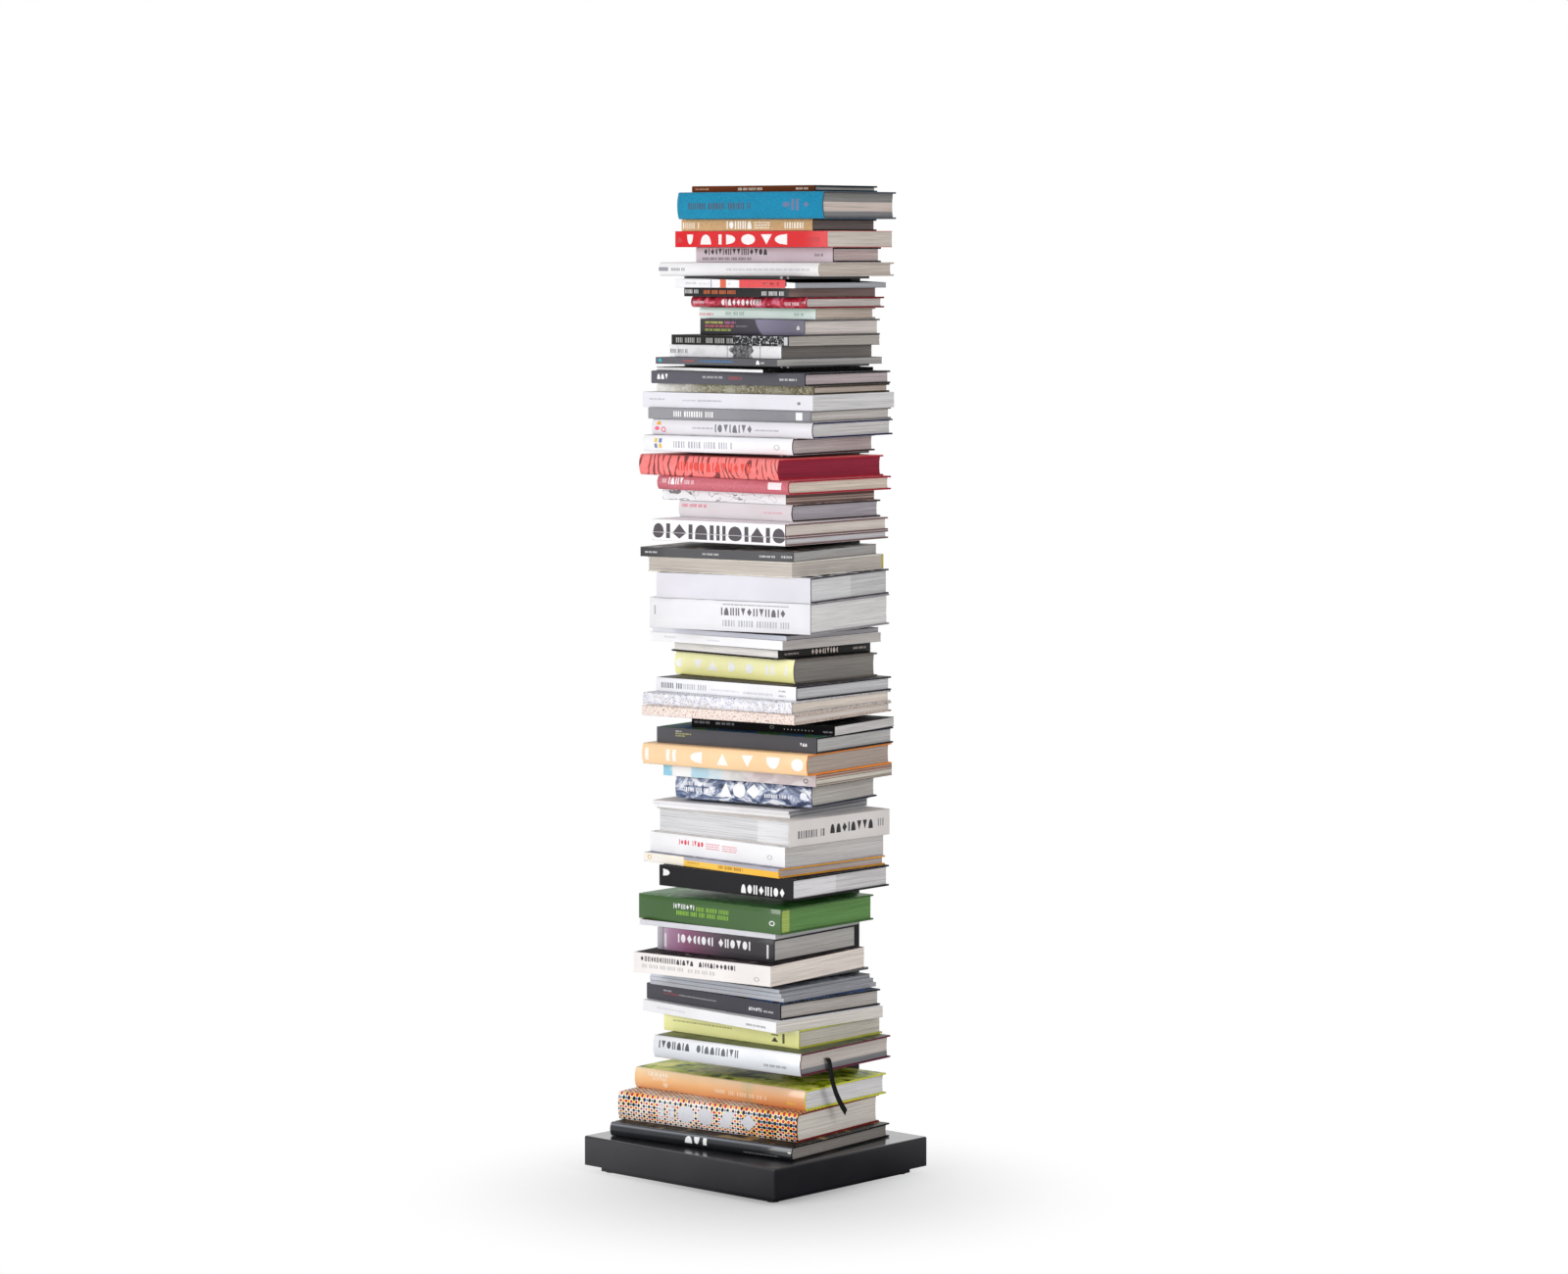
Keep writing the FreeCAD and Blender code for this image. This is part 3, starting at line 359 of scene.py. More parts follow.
def rubberFinish(name, tone):
    mat, shader, where = startFinish(name, 0.8, Specular_IOR_Level=0.3)
    setTone(shader, ramp(grain(where, 600, 3), [(0.3, tone), (0.7, shifted(tone, 12))]))
    roughen(shader, grain(where, 1500, 2), 0.4, 0.0002)
    return mat


steelFinishes = {
    "black_lacquer": lacquerFinish("satinLacquer", lacquer),
    "column": lacquerFinish("columnLacquer", columnLacquer),
    "ballast_steel": rolledSteel("ballastSteel", (150, 149, 150), 0.9, 0.45),
    "screw_steel": rolledSteel("blackenedBolt", (62, 61, 64), 0.8, 0.4),
    "pads": rubberFinish("padRubber", (26, 26, 27)),
}
for part in frame["record"]["subparts"]:
    if part["material_slot"] in steelFinishes:
        node = frame["nodes"][part["node"]]
        # columns take the darker lacquer, painted shade
        finish = steelFinishes["column" if part["node"].startswith("column") else part["material_slot"]]
        for place in node.material_slots:
            place.material = finish
        if not node.material_slots:
            node.data.materials.append(finish)
print("steel finished")

# every volume: size is its length, depth and thickness; turn is how it lies, in degrees, shift how far to
# the right of the column's middle, and pull how far off the column. Lengths are in millimetres. The spine's
# colours run along it, the upward ones up it and bands' up the paper; top's three lie in patches on the
# boards. Up the spine, the silver, lime and orange volumes have painted shade low and a painted highlight
# near the upper edge, the black gloss a painted reflection streak and the crimson cloth a painted highlight
# down its middle. Panels are bundles of leaves painted paler, as shares of the depth: a painted highlight
# where they would catch the light, and on the green volume a paler strip of its own; wall is an own spine
# thickness, and sag is how far the loose end settles. A mark is a kind, its start and stop along the spine,
# its middle and height up it, all as shares, and its colour, which is the volume's ink where it names none
bays = []

# the stack on the base, from its lowest book up
bays.append({
    "blackGloss": {
        "node": "black_gloss_book", "size": (368, 268, 23), "turn": 5.5, "shift": -17, "pull": 10,
        "binding": "round", "finish": "gloss", "edge": (12, 12, 14), "paper": (152, 146, 140),
        "spine": [(44, 46, 52), (24, 26, 31), (14, 15, 19)],
        # up the spine: a painted reflection streak near its upper edge, with painted shade below it
        "fall": [
            (0, (12, 12, 15)), (0.5, (26, 28, 33)), (0.74, (60, 64, 70)), (0.86, (176, 180, 188)),
            (0.94, (70, 74, 80)), (1, (26, 26, 30)),
        ],
        "top": [(24, 22, 22), (34, 30, 26), (150, 124, 78)], "ink": (244, 244, 244),
        "marks": [
            ("halfUp", 0.42, 0.46, 0.55, 0.5), ("halfDown", 0.47, 0.5, 0.55, 0.5),
            ("block", 0.52, 0.54, 0.55, 0.5), ("words", 0.74, 0.93, 0.24, 0.12, (134, 134, 138)),
            ("disc", 0.98, 1, 0.6, 0.1, (240, 240, 240)),
        ],
    },
    "dotted": {
        "node": "dotted_book", "size": (358, 232, 46), "turn": 6.5, "shift": -30, "pull": 14,
        "binding": "round", "finish": "film", "edge": (128, 12, 20), "paper": (234, 228, 218),
        "pattern": "dots", "spine": [(246, 243, 240), (240, 234, 230)],
        "marks": [
            ("bars", 0.23, 0.32, 0.5, 0.58, (226, 226, 232)),
            ("disc", 0.34, 0.43, 0.5, 0.6, (222, 222, 228)),
            ("disc", 0.45, 0.54, 0.5, 0.6, (216, 216, 222)),
            ("slant", 0.57, 0.66, 0.5, 0.58, (220, 220, 226)),
            ("diamond", 0.69, 0.78, 0.5, 0.6, (214, 214, 220)),
        ],
    },
    "orangeGloss": {
        "node": "orange_book", "size": (356, 214, 34), "turn": 3.5, "shift": -24, "pull": 0,
        "binding": "round", "finish": "gloss", "edge": (220, 222, 60), "paper": (236, 234, 235),
        "spine": [
            (0, (253, 206, 144)), (0.4, (249, 190, 128)), (0.62, (226, 160, 110)), (0.67, (154, 146, 98)),
            (0.72, (216, 142, 90)), (1, (200, 120, 70)),
        ],
        # up the spine: painted shade low on it and a painted highlight near its upper edge
        "fall": [(236, 140, 80), (254, 194, 134), (255, 243, 212)],
        "top": [(255, 252, 128), (186, 206, 34), (24, 52, 8)],
        "marks": [
            ("blocks", 0.08, 0.2, 0.78, 0.2, (255, 238, 216)),
            ("blocks", 0.11, 0.2, 0.56, 0.2, (255, 226, 196)),
            ("halfDown", 0.17, 0.2, 0.3, 0.22, (255, 222, 190)),
            ("words", 0.48, 0.54, 0.42, 0.22, (255, 222, 192)),
            ("words", 0.56, 0.78, 0.4, 0.24, (255, 216, 182)),
            ("words", 0.9, 0.95, 0.3, 0.16, (240, 206, 70)),
        ],
    },
})

# the stack on shelf 1, from its lowest book up
bays.append({
    "silver": {
        "node": "silver_book", "size": (302, 239, 36.5), "turn": 4, "shift": 25, "pull": 17,
        "binding": "round", "finish": "silver", "edge": (104, 20, 52), "paper": (206, 198, 192),
        "spine": [(238, 241, 245), (238, 242, 246)],
        # up the spine: painted shade low on it and a painted highlight near its upper edge
        "fall": [(212, 217, 222), (238, 242, 246), (252, 252, 253)],
        "bands": [
            (0, (136, 136, 138)), (0.3, (140, 140, 142)), (0.33, (212, 203, 196)), (1, (206, 196, 188)),
        ],
        "top": [(104, 112, 78), (92, 98, 70), (60, 64, 52)],
        "marks": [
            ("blocks", 0.04, 0.27, 0.64, 0.34, (82, 84, 90)),
            ("blocks", 0.3, 0.6, 0.64, 0.34, (104, 106, 112)),
            ("words", 0.76, 0.91, 0.34, 0.13, (96, 98, 106)),
        ],
    },
    "lime": {
        "node": "lime_and_white_books", "size": (290, 209, 30), "turn": 1.5, "shift": 9, "pull": 7,
        "binding": "flat", "finish": "matte", "edge": (190, 194, 66), "paper": (216, 210, 198),
        "spine": [(252, 251, 186), (246, 245, 172)],
        # up the spine: painted shade low on it and a painted highlight near its upper edge
        "fall": [(0, (230, 230, 146)), (0.7, (246, 246, 176)), (1, (252, 252, 232))],
        "top": [(206, 208, 140), (186, 190, 110), (160, 166, 90)], "ink": (66, 66, 48),
        "marks": [
            ("words", 0.07, 0.51, 0.62, 0.1, (128, 128, 74)), ("wedgeUp", 0.8, 0.85, 0.36, 0.26),
            ("block", 0.8, 0.85, 0.6, 0.06), ("words", 0.88, 0.9, 0.5, 0.6, (96, 96, 60)),
        ],
    },
    "thinWhite": {
        "node": "lime_and_white_books", "size": (318, 238, 18), "turn": -4.5, "shift": 11, "pull": 2,
        "binding": "soft", "finish": "matte", "edge": (226, 222, 216), "paper": (236, 230, 222),
        "spine": [(246, 246, 248), (248, 248, 249)],
        "marks": [
            ("words", 0.11, 0.32, 0.5, 0.2, (214, 214, 220)),
            ("words", 0.78, 0.93, 0.4, 0.22, (112, 112, 120)),
        ],
    },
    "charcoal": {
        "node": "charcoal_book", "size": (313, 227, 26.5), "turn": -3.5, "shift": 2, "pull": 1,
        "binding": "flat", "finish": "matte", "edge": (20, 20, 22), "paper": (196, 190, 184),
        "spine": [(86, 85, 92), (78, 77, 84)], "top": [(30, 32, 38), (48, 84, 140), (70, 72, 76)],
        "marks": [
            ("words", 0.13, 0.19, 0.7, 0.1, (226, 226, 226)),
            ("words", 0.13, 0.25, 0.53, 0.1, (188, 66, 78)),
            ("words", 0.25, 0.53, 0.55, 0.08, (206, 206, 206)),
            ("blocks", 0.77, 0.87, 0.45, 0.22, (240, 240, 240)),
            ("words", 0.88, 0.95, 0.42, 0.14, (220, 220, 220)),
        ],
    },
    "lowIssue": {
        "node": "grey_magazines", "size": (292, 227, 6.5), "turn": 0.5, "shift": -10, "pull": 0,
        "binding": "soft", "finish": "film", "edge": (150, 152, 156), "paper": (184, 184, 188),
        "spine": [(190, 192, 198), (206, 208, 214)],
    },
    "middleIssue": {
        "node": "grey_magazines", "size": (288, 226, 6.5), "turn": 0.5, "shift": -14, "pull": 0,
        "binding": "soft", "finish": "film", "edge": (140, 142, 146), "paper": (172, 172, 176),
        "spine": [(206, 210, 218), (196, 200, 208)],
    },
    "topIssue": {
        "node": "grey_magazines", "size": (280, 224, 6), "turn": 1, "shift": -18, "pull": 0,
        "binding": "soft", "finish": "film", "edge": (120, 122, 126), "paper": (160, 160, 164),
        "spine": [(216, 220, 228), (206, 210, 218)],
        "top": [(112, 116, 122), (150, 156, 166), (66, 68, 74)],
    },
})

# the stack on shelf 2, from its lowest book up
bays.append({
    "offWhite": {
        "node": "off_white_book", "size": (273, 261, 33), "turn": 6.5, "shift": -23, "pull": 7,
        "binding": "soft", "finish": "matte", "edge": (222, 206, 196), "paper": (250, 240, 230),
        "spine": [(246, 242, 239), (240, 236, 233)], "top": [(66, 56, 60), (34, 30, 32), (120, 104, 104)],
        "ink": (200, 196, 194),
        "marks": [
            ("blocks", 0.05, 0.45, 0.72, 0.26, (64, 54, 60)),
            ("blocks", 0.48, 0.75, 0.72, 0.26, (70, 60, 66)), ("words", 0.06, 0.37, 0.38, 0.22),
            ("words", 0.4, 0.6, 0.36, 0.22), ("ring", 0.88, 0.92, 0.3, 0.22, (186, 180, 178)),
        ],
    },
    "purpleGrey": {
        "node": "purple_grey_book", "size": (241, 219, 37), "turn": 4, "shift": -16, "pull": 13,
        "binding": "flat", "finish": "film", "edge": (40, 36, 40), "paper": (200, 196, 192),
        "spine": [
            (0, (190, 186, 194)), (0.04, (172, 162, 172)), (0.055, (128, 118, 128)),
            (0.06, (190, 170, 190)), (0.1, (170, 132, 158)), (0.25, (144, 90, 122)), (0.42, (106, 78, 94)),
            (0.6, (70, 64, 70)), (1, (48, 48, 51)),
        ],
        "ink": (248, 246, 248),
        "marks": [
            ("words", 0.06, 0.08, 0.5, 0.7, (226, 214, 224)), ("blocks", 0.18, 0.49, 0.6, 0.38),
            ("blocks", 0.53, 0.81, 0.6, 0.38), ("words", 0.94, 0.96, 0.5, 0.7, (232, 228, 232)),
        ],
    },
    "pamphlet": {
        "node": "green_and_thin_books", "size": (280, 222, 9), "turn": 4.5, "shift": -36, "pull": 8,
        "binding": "soft", "finish": "matte", "edge": (170, 168, 170), "paper": (214, 212, 216),
        "spine": [(222, 222, 228), (226, 226, 232)], "top": [(120, 60, 66), (90, 84, 88), (60, 50, 54)],
    },
    "green": {
        "node": "green_and_thin_books", "size": (303, 234, 41.5), "turn": 2, "shift": -23, "pull": 0,
        "binding": "flat", "finish": "gloss", "edge": (74, 108, 58), "paper": (112, 158, 92),
        "spine": [(58, 98, 44), (70, 106, 56)], "top": [(84, 150, 78), (62, 122, 52), (140, 190, 130)],
        "panels": [(0, 0.11, (190, 210, 110))], "ink": (150, 200, 62),
        "marks": [
            ("blocks", 0.25, 0.4, 0.66, 0.2, (246, 248, 244)), ("words", 0.41, 0.65, 0.64, 0.2),
            ("words", 0.27, 0.64, 0.42, 0.2), ("ring", 0.92, 0.96, 0.42, 0.2, (232, 238, 230)),
        ],
    },
})

# the stack on shelf 3, from its lowest book up
bays.append({
    "darkSlate": {
        "node": "dark_slate_book", "size": (284, 240, 34), "turn": 1.5, "shift": 33, "pull": 16,
        "binding": "flat", "finish": "matte", "edge": (16, 16, 18), "paper": (226, 224, 224),
        "spine": [(40, 39, 41), (42, 41, 43)], "top": [(20, 20, 22), (52, 50, 54), (90, 88, 92)],
        "panels": [(0, 0.46, (239, 238, 239))],
        "marks": [
            ("halfLeft", 0.03, 0.08, 0.66, 0.34, (240, 240, 238)),
            ("blocks", 0.62, 0.95, 0.32, 0.42, (244, 244, 242)),
        ],
    },
    "amber": {
        "node": "amber_and_rose_books", "size": (309, 245, 15.5), "turn": -2.5, "shift": 15, "pull": 6,
        "binding": "flat", "finish": "film", "edge": (232, 160, 32), "paper": (196, 186, 182),
        "pattern": "strip",
        "spine": [
            (0, (252, 249, 243)), (0.3, (252, 244, 226)), (0.305, (255, 206, 92)), (0.7, (254, 200, 76)),
            (1, (250, 186, 56)),
        ],
        "top": [(150, 150, 164), (128, 128, 142), (176, 176, 186)],
        "marks": [
            ("ring", 0.03, 0.06, 0.55, 0.5, (238, 190, 92)),
            ("words", 0.33, 0.42, 0.5, 0.18, (176, 120, 30)),
            ("words", 0.56, 0.74, 0.45, 0.42, (150, 98, 24)),
        ],
    },
    "roseLettered": {
        "node": "amber_and_rose_books", "size": (306, 229, 32.5), "turn": -2, "shift": 11, "pull": 6,
        "binding": "soft", "finish": "matte", "edge": (214, 208, 206), "paper": (212, 209, 206),
        "spine": [(248, 248, 250), (249, 249, 250)], "top": [(58, 88, 148), (226, 226, 230), (40, 60, 110)],
        "ink": (236, 72, 84),
        "marks": [
            ("blocks", 0.22, 0.3, 0.64, 0.26), ("blocks", 0.32, 0.4, 0.64, 0.26),
            ("lines", 0.42, 0.52, 0.6, 0.32, (242, 164, 170)),
            ("lines", 0.54, 0.65, 0.58, 0.32, (242, 164, 170)),
            ("ring", 0.87, 0.91, 0.42, 0.24, (206, 204, 210)),
        ],
    },
    "turnedReport": {
        "node": "report_and_journals", "size": (296, 236, 42), "turn": -1, "shift": 20, "pull": 0,
        "binding": "turned", "finish": "matte", "edge": (206, 202, 198), "paper": (230, 230, 232),
        "spine": [(226, 221, 217), (228, 223, 219)], "panels": [(0, 0.25, (238, 238, 240))],
        "marks": [
            ("block", 0.06, 0.06, 0.5, 0.46, (96, 96, 98)),
            ("words", 0.08, 0.36, 0.46, 0.34, (112, 110, 112)),
            ("blocks", 0.4, 0.85, 0.52, 0.36, (38, 36, 38)),
            ("words", 0.88, 0.94, 0.56, 0.34, (150, 148, 150)),
        ],
    },
    "lowJournal": {
        "node": "report_and_journals", "size": (270, 216, 6), "turn": 6.5, "shift": -21, "pull": 1,
        "binding": "soft", "finish": "matte", "edge": (190, 190, 192), "paper": (150, 150, 152),
        "spine": [(244, 244, 246), (238, 238, 240)],
    },
    "topJournal": {
        "node": "report_and_journals", "size": (272, 219, 5.5), "turn": 6.5, "shift": -22, "pull": 1,
        "binding": "soft", "finish": "matte", "edge": (170, 170, 172), "paper": (140, 140, 142),
        "spine": [(236, 236, 238), (226, 226, 228)],
    },
})

# the stack on shelf 4, from its lowest book up
bays.append({
    "cloudyBlue": {
        "node": "cloudy_blue_book", "size": (260, 200, 36.5), "turn": 9.5, "shift": 3, "pull": 3,
        "binding": "round", "finish": "film", "edge": (44, 48, 62), "paper": (204, 200, 194),
        "pattern": "cloud", "spine": [(138, 152, 172), (104, 118, 146), (148, 152, 172)],
        "ink": (252, 252, 253),
        "marks": [
            ("words", 0.07, 0.28, 0.72, 0.2, (250, 250, 252)),
            ("words", 0.07, 0.28, 0.46, 0.22, (250, 250, 252)), ("wedgeUp", 0.33, 0.42, 0.55, 0.66),
            ("disc", 0.43, 0.52, 0.55, 0.66), ("diamond", 0.53, 0.63, 0.55, 0.66),
            ("words", 0.66, 0.86, 0.42, 0.2, (246, 246, 250)),
            ("disc", 0.92, 0.97, 0.5, 0.34, (240, 242, 248)),
        ],
    },
    "striped": {
        "node": "striped_book", "size": (301, 216, 19), "turn": 7, "shift": 11, "pull": 0,
        "binding": "soft", "finish": "film", "edge": (84, 50, 44), "paper": (208, 201, 186),
        "pattern": "ripple",
        "spine": [
            (0, (150, 208, 232)), (0.058, (150, 208, 232)), (0.06, (244, 246, 248)),
            (0.18, (240, 243, 246)), (0.19, (176, 214, 230)), (0.38, (188, 218, 230)),
            (0.4, (216, 216, 216)), (0.53, (206, 208, 208)), (0.55, (204, 192, 196)), (1, (190, 178, 180)),
        ],
        "bands": [
            (0, (206, 196, 180)), (0.2, (150, 140, 128)), (0.28, (232, 226, 214)), (0.52, (226, 216, 200)),
            (0.57, (96, 84, 76)), (0.63, (222, 210, 194)), (0.8, (140, 60, 52)), (0.87, (214, 190, 170)),
            (1, (110, 50, 46)),
        ],
        "top": [(120, 60, 50), (70, 66, 64), (190, 180, 160)],
        "marks": [
            ("ring", 0.92, 0.95, 0.45, 0.42, (86, 82, 88)),
        ],
    },
    "apricot": {
        "node": "apricot_book", "size": (327, 238, 34), "turn": 6.5, "shift": -1, "pull": 2,
        "binding": "round", "finish": "film", "edge": (252, 140, 24), "paper": (188, 174, 162),
        "spine": [(253, 216, 170), (250, 210, 160)], "ink": (255, 250, 244),
        "marks": [
            ("block", 0.02, 0.04, 0.5, 0.56), ("bars", 0.15, 0.21, 0.5, 0.56),
            ("halfRight", 0.3, 0.37, 0.5, 0.56), ("wedgeUp", 0.46, 0.53, 0.5, 0.56),
            ("wedgeDown", 0.61, 0.68, 0.5, 0.56), ("halfDown", 0.76, 0.84, 0.5, 0.56),
            ("disc", 0.91, 0.98, 0.5, 0.6),
        ],
    },
    "graphite": {
        "node": "graphite_and_black_books", "size": (315, 218, 26), "turn": 7, "shift": 7, "pull": 1,
        "binding": "flat", "finish": "matte", "edge": (16, 16, 18), "paper": (200, 198, 196),
        "spine": [(92, 92, 97), (80, 80, 85)], "top": [(60, 104, 60), (40, 70, 140), (34, 34, 38)],
        "marks": [
            ("words", 0.12, 0.16, 0.8, 0.1, (226, 226, 220)),
            ("words", 0.12, 0.22, 0.66, 0.1, (206, 204, 120)),
            ("words", 0.12, 0.18, 0.52, 0.1, (196, 196, 120)),
            ("blocks", 0.9, 0.95, 0.52, 0.2, (240, 240, 240)),
        ],
    },
    "smallBlack": {
        "node": "graphite_and_black_books", "size": (270, 186, 15.5), "turn": 10.5, "shift": 27, "pull": 0,
        "binding": "soft", "finish": "matte", "edge": (12, 12, 14), "paper": (218, 215, 212),
        "spine": [(7, 7, 9), (6, 6, 8)], "top": [(20, 20, 22), (30, 30, 32), (60, 60, 62)],
        "ink": (150, 150, 156),
        "marks": [
            ("words", 0.02, 0.13, 0.62, 0.3), ("words", 0.17, 0.3, 0.6, 0.3),
            ("ring", 0.55, 0.58, 0.55, 0.36, (96, 96, 100)),
            ("dots", 0.64, 0.86, 0.4, 0.14, (196, 196, 200)), ("words", 0.92, 0.99, 0.38, 0.2),
        ],
    },
})

# the stack on shelf 5, from its lowest book up
bays.append({
    "peach": {
        "node": "peach_and_speckled_books", "size": (295, 281, 16), "turn": 8, "shift": 13, "pull": 2,
        "binding": "flat", "finish": "matte", "edge": (214, 196, 180), "paper": (234, 224, 216),
        "pattern": "mottle", "spine": [(238, 230, 222), (236, 228, 220)],
    },
    "speckled": {
        "node": "peach_and_speckled_books", "size": (298, 269, 19), "turn": 5.5, "shift": 15, "pull": 5,
        "binding": "flat", "finish": "matte", "edge": (206, 200, 196), "paper": (242, 231, 218),
        "pattern": "speckle", "spine": [(240, 241, 246), (242, 242, 246)],
    },
    "tallWhite": {
        "node": "tall_white_book", "size": (289, 247, 22.5), "turn": 3.5, "shift": 20, "pull": 2,
        "binding": "flat", "finish": "film", "edge": (48, 46, 50), "paper": (214, 214, 216),
        "spine": [(244, 244, 247), (244, 244, 246)], "top": [(66, 62, 68), (52, 50, 54), (90, 86, 92)],
        "marks": [
            ("words", 0.04, 0.19, 0.5, 0.46, (120, 120, 130)),
            ("words", 0.2, 0.37, 0.5, 0.46, (196, 196, 202)),
            ("words", 0.4, 0.6, 0.38, 0.14, (212, 212, 216)),
            ("words", 0.63, 0.84, 0.34, 0.16, (190, 190, 196)),
            ("words", 0.88, 0.93, 0.64, 0.14, (110, 110, 116)),
            ("words", 0.88, 0.93, 0.3, 0.14, (120, 120, 126)),
        ],
    },
    "lemon": {
        "node": "lemon_book", "size": (264, 199, 38), "turn": -1, "shift": 13, "pull": 5,
        "binding": "round", "finish": "matte", "edge": (118, 110, 102), "paper": (150, 146, 140),
        "spine": [(255, 253, 196), (255, 251, 188)],
        "fall": [(255, 250, 132), (255, 253, 196), (255, 253, 196)],
        "top": [(96, 90, 84), (80, 76, 72), (120, 114, 106)], "ink": (255, 255, 250),
        "marks": [
            ("halfRight", 0.01, 0.06, 0.5, 0.42), ("wedgeDown", 0.16, 0.24, 0.5, 0.4),
            ("wedgeUp", 0.28, 0.37, 0.5, 0.42), ("halfLeft", 0.46, 0.52, 0.5, 0.42),
            ("disc", 0.6, 0.67, 0.5, 0.42), ("bars", 0.77, 0.84, 0.5, 0.42),
            ("block", 0.93, 0.95, 0.52, 0.42),
        ],
    },
    "turnedBlack": {
        "node": "black_white_and_thin_books", "size": (248, 208, 17.5), "turn": -3, "shift": 10, "pull": 2,
        "binding": "turned", "finish": "film", "edge": (20, 17, 16), "paper": (248, 243, 238),
        "spine": [(12, 9, 8), (12, 10, 9)], "panels": [(0, 1, (255, 252, 248))],
        "marks": [
            ("words", 0.06, 0.21, 0.5, 0.2, (190, 180, 172)),
            ("blocks", 0.35, 0.66, 0.52, 0.52, (204, 190, 180)),
            ("words", 0.81, 0.95, 0.55, 0.24, (196, 184, 176)),
        ],
    },
    "slimWhite": {
        "node": "black_white_and_thin_books", "size": (292, 235, 15), "turn": -0.5, "shift": 1, "pull": 0,
        "binding": "soft", "finish": "matte", "edge": (200, 196, 192), "paper": (200, 195, 190),
        "spine": [(247, 247, 248), (247, 247, 248)],
        "marks": [
            ("words", 0.11, 0.2, 0.55, 0.2, (204, 204, 210)),
            ("words", 0.44, 0.53, 0.5, 0.2, (206, 206, 212)),
        ],
    },
    "blueGrey": {
        "node": "black_white_and_thin_books", "size": (284, 231, 7.5), "turn": 2, "shift": -4, "pull": 0,
        "binding": "soft", "finish": "film", "edge": (110, 96, 100), "paper": (178, 176, 178),
        "spine": [(226, 226, 234), (198, 201, 212)], "top": [(90, 86, 92), (140, 140, 150), (60, 58, 62)],
    },
})

# the stack on shelf 6, from its lowest book up
bays.append({
    "thickWhite": {
        "node": "thick_white_book", "size": (297, 257, 49.5), "turn": 12, "shift": 4, "pull": 0,
        "binding": "flat", "finish": "film", "edge": (150, 146, 150), "paper": (240, 238, 236),
        "spine": [(231, 231, 234), (225, 225, 228)],
        "marks": [
            ("words", 0.46, 0.87, 0.87, 0.05, (96, 90, 100)),
            ("blocks", 0.45, 0.87, 0.64, 0.25, (92, 82, 94)),
            ("words", 0.46, 0.87, 0.28, 0.24, (172, 172, 178)),
            ("words", 0.03, 0.05, 0.62, 0.34, (160, 160, 168)),
        ],
    },
    "lilac": {
        "node": "lilac_book", "size": (283, 258, 40.5), "turn": 12.5, "shift": 11, "pull": 2,
        "binding": "flat", "finish": "matte", "edge": (70, 66, 72), "paper": (218, 218, 218),
        "spine": [(226, 224, 231), (220, 219, 226)], "top": [(226, 224, 230), (40, 36, 40), (90, 84, 90)],
        "panels": [(0, 0.53, (228, 228, 228))],
    },
    "turnedOlive": {
        "node": "olive_book_and_magazine", "size": (279, 264, 24), "turn": 8, "shift": 4, "pull": 0,
        "binding": "backward", "finish": "matte", "edge": (232, 226, 214), "paper": (207, 199, 190),
        "wall": 6.5, "spine": [(200, 188, 84), (196, 184, 80)],
    },
    "curledMagazine": {
        "node": "olive_book_and_magazine", "size": (287, 259, 15.5), "turn": 11, "shift": -14, "pull": 1,
        "binding": "soft", "finish": "film", "edge": (80, 78, 80), "paper": (182, 180, 178),
        "spine": [(64, 63, 66), (58, 57, 60)], "top": [(60, 54, 56), (140, 132, 124), (210, 206, 200)],
        "marks": [
            ("words", 0.03, 0.11, 0.5, 0.22, (226, 226, 226)),
            ("words", 0.41, 0.52, 0.5, 0.22, (220, 220, 220)),
            ("words", 0.78, 0.88, 0.5, 0.24, (228, 228, 228)),
            ("blocks", 0.92, 0.99, 0.5, 0.3, (196, 196, 198)),
        ],
    },
})

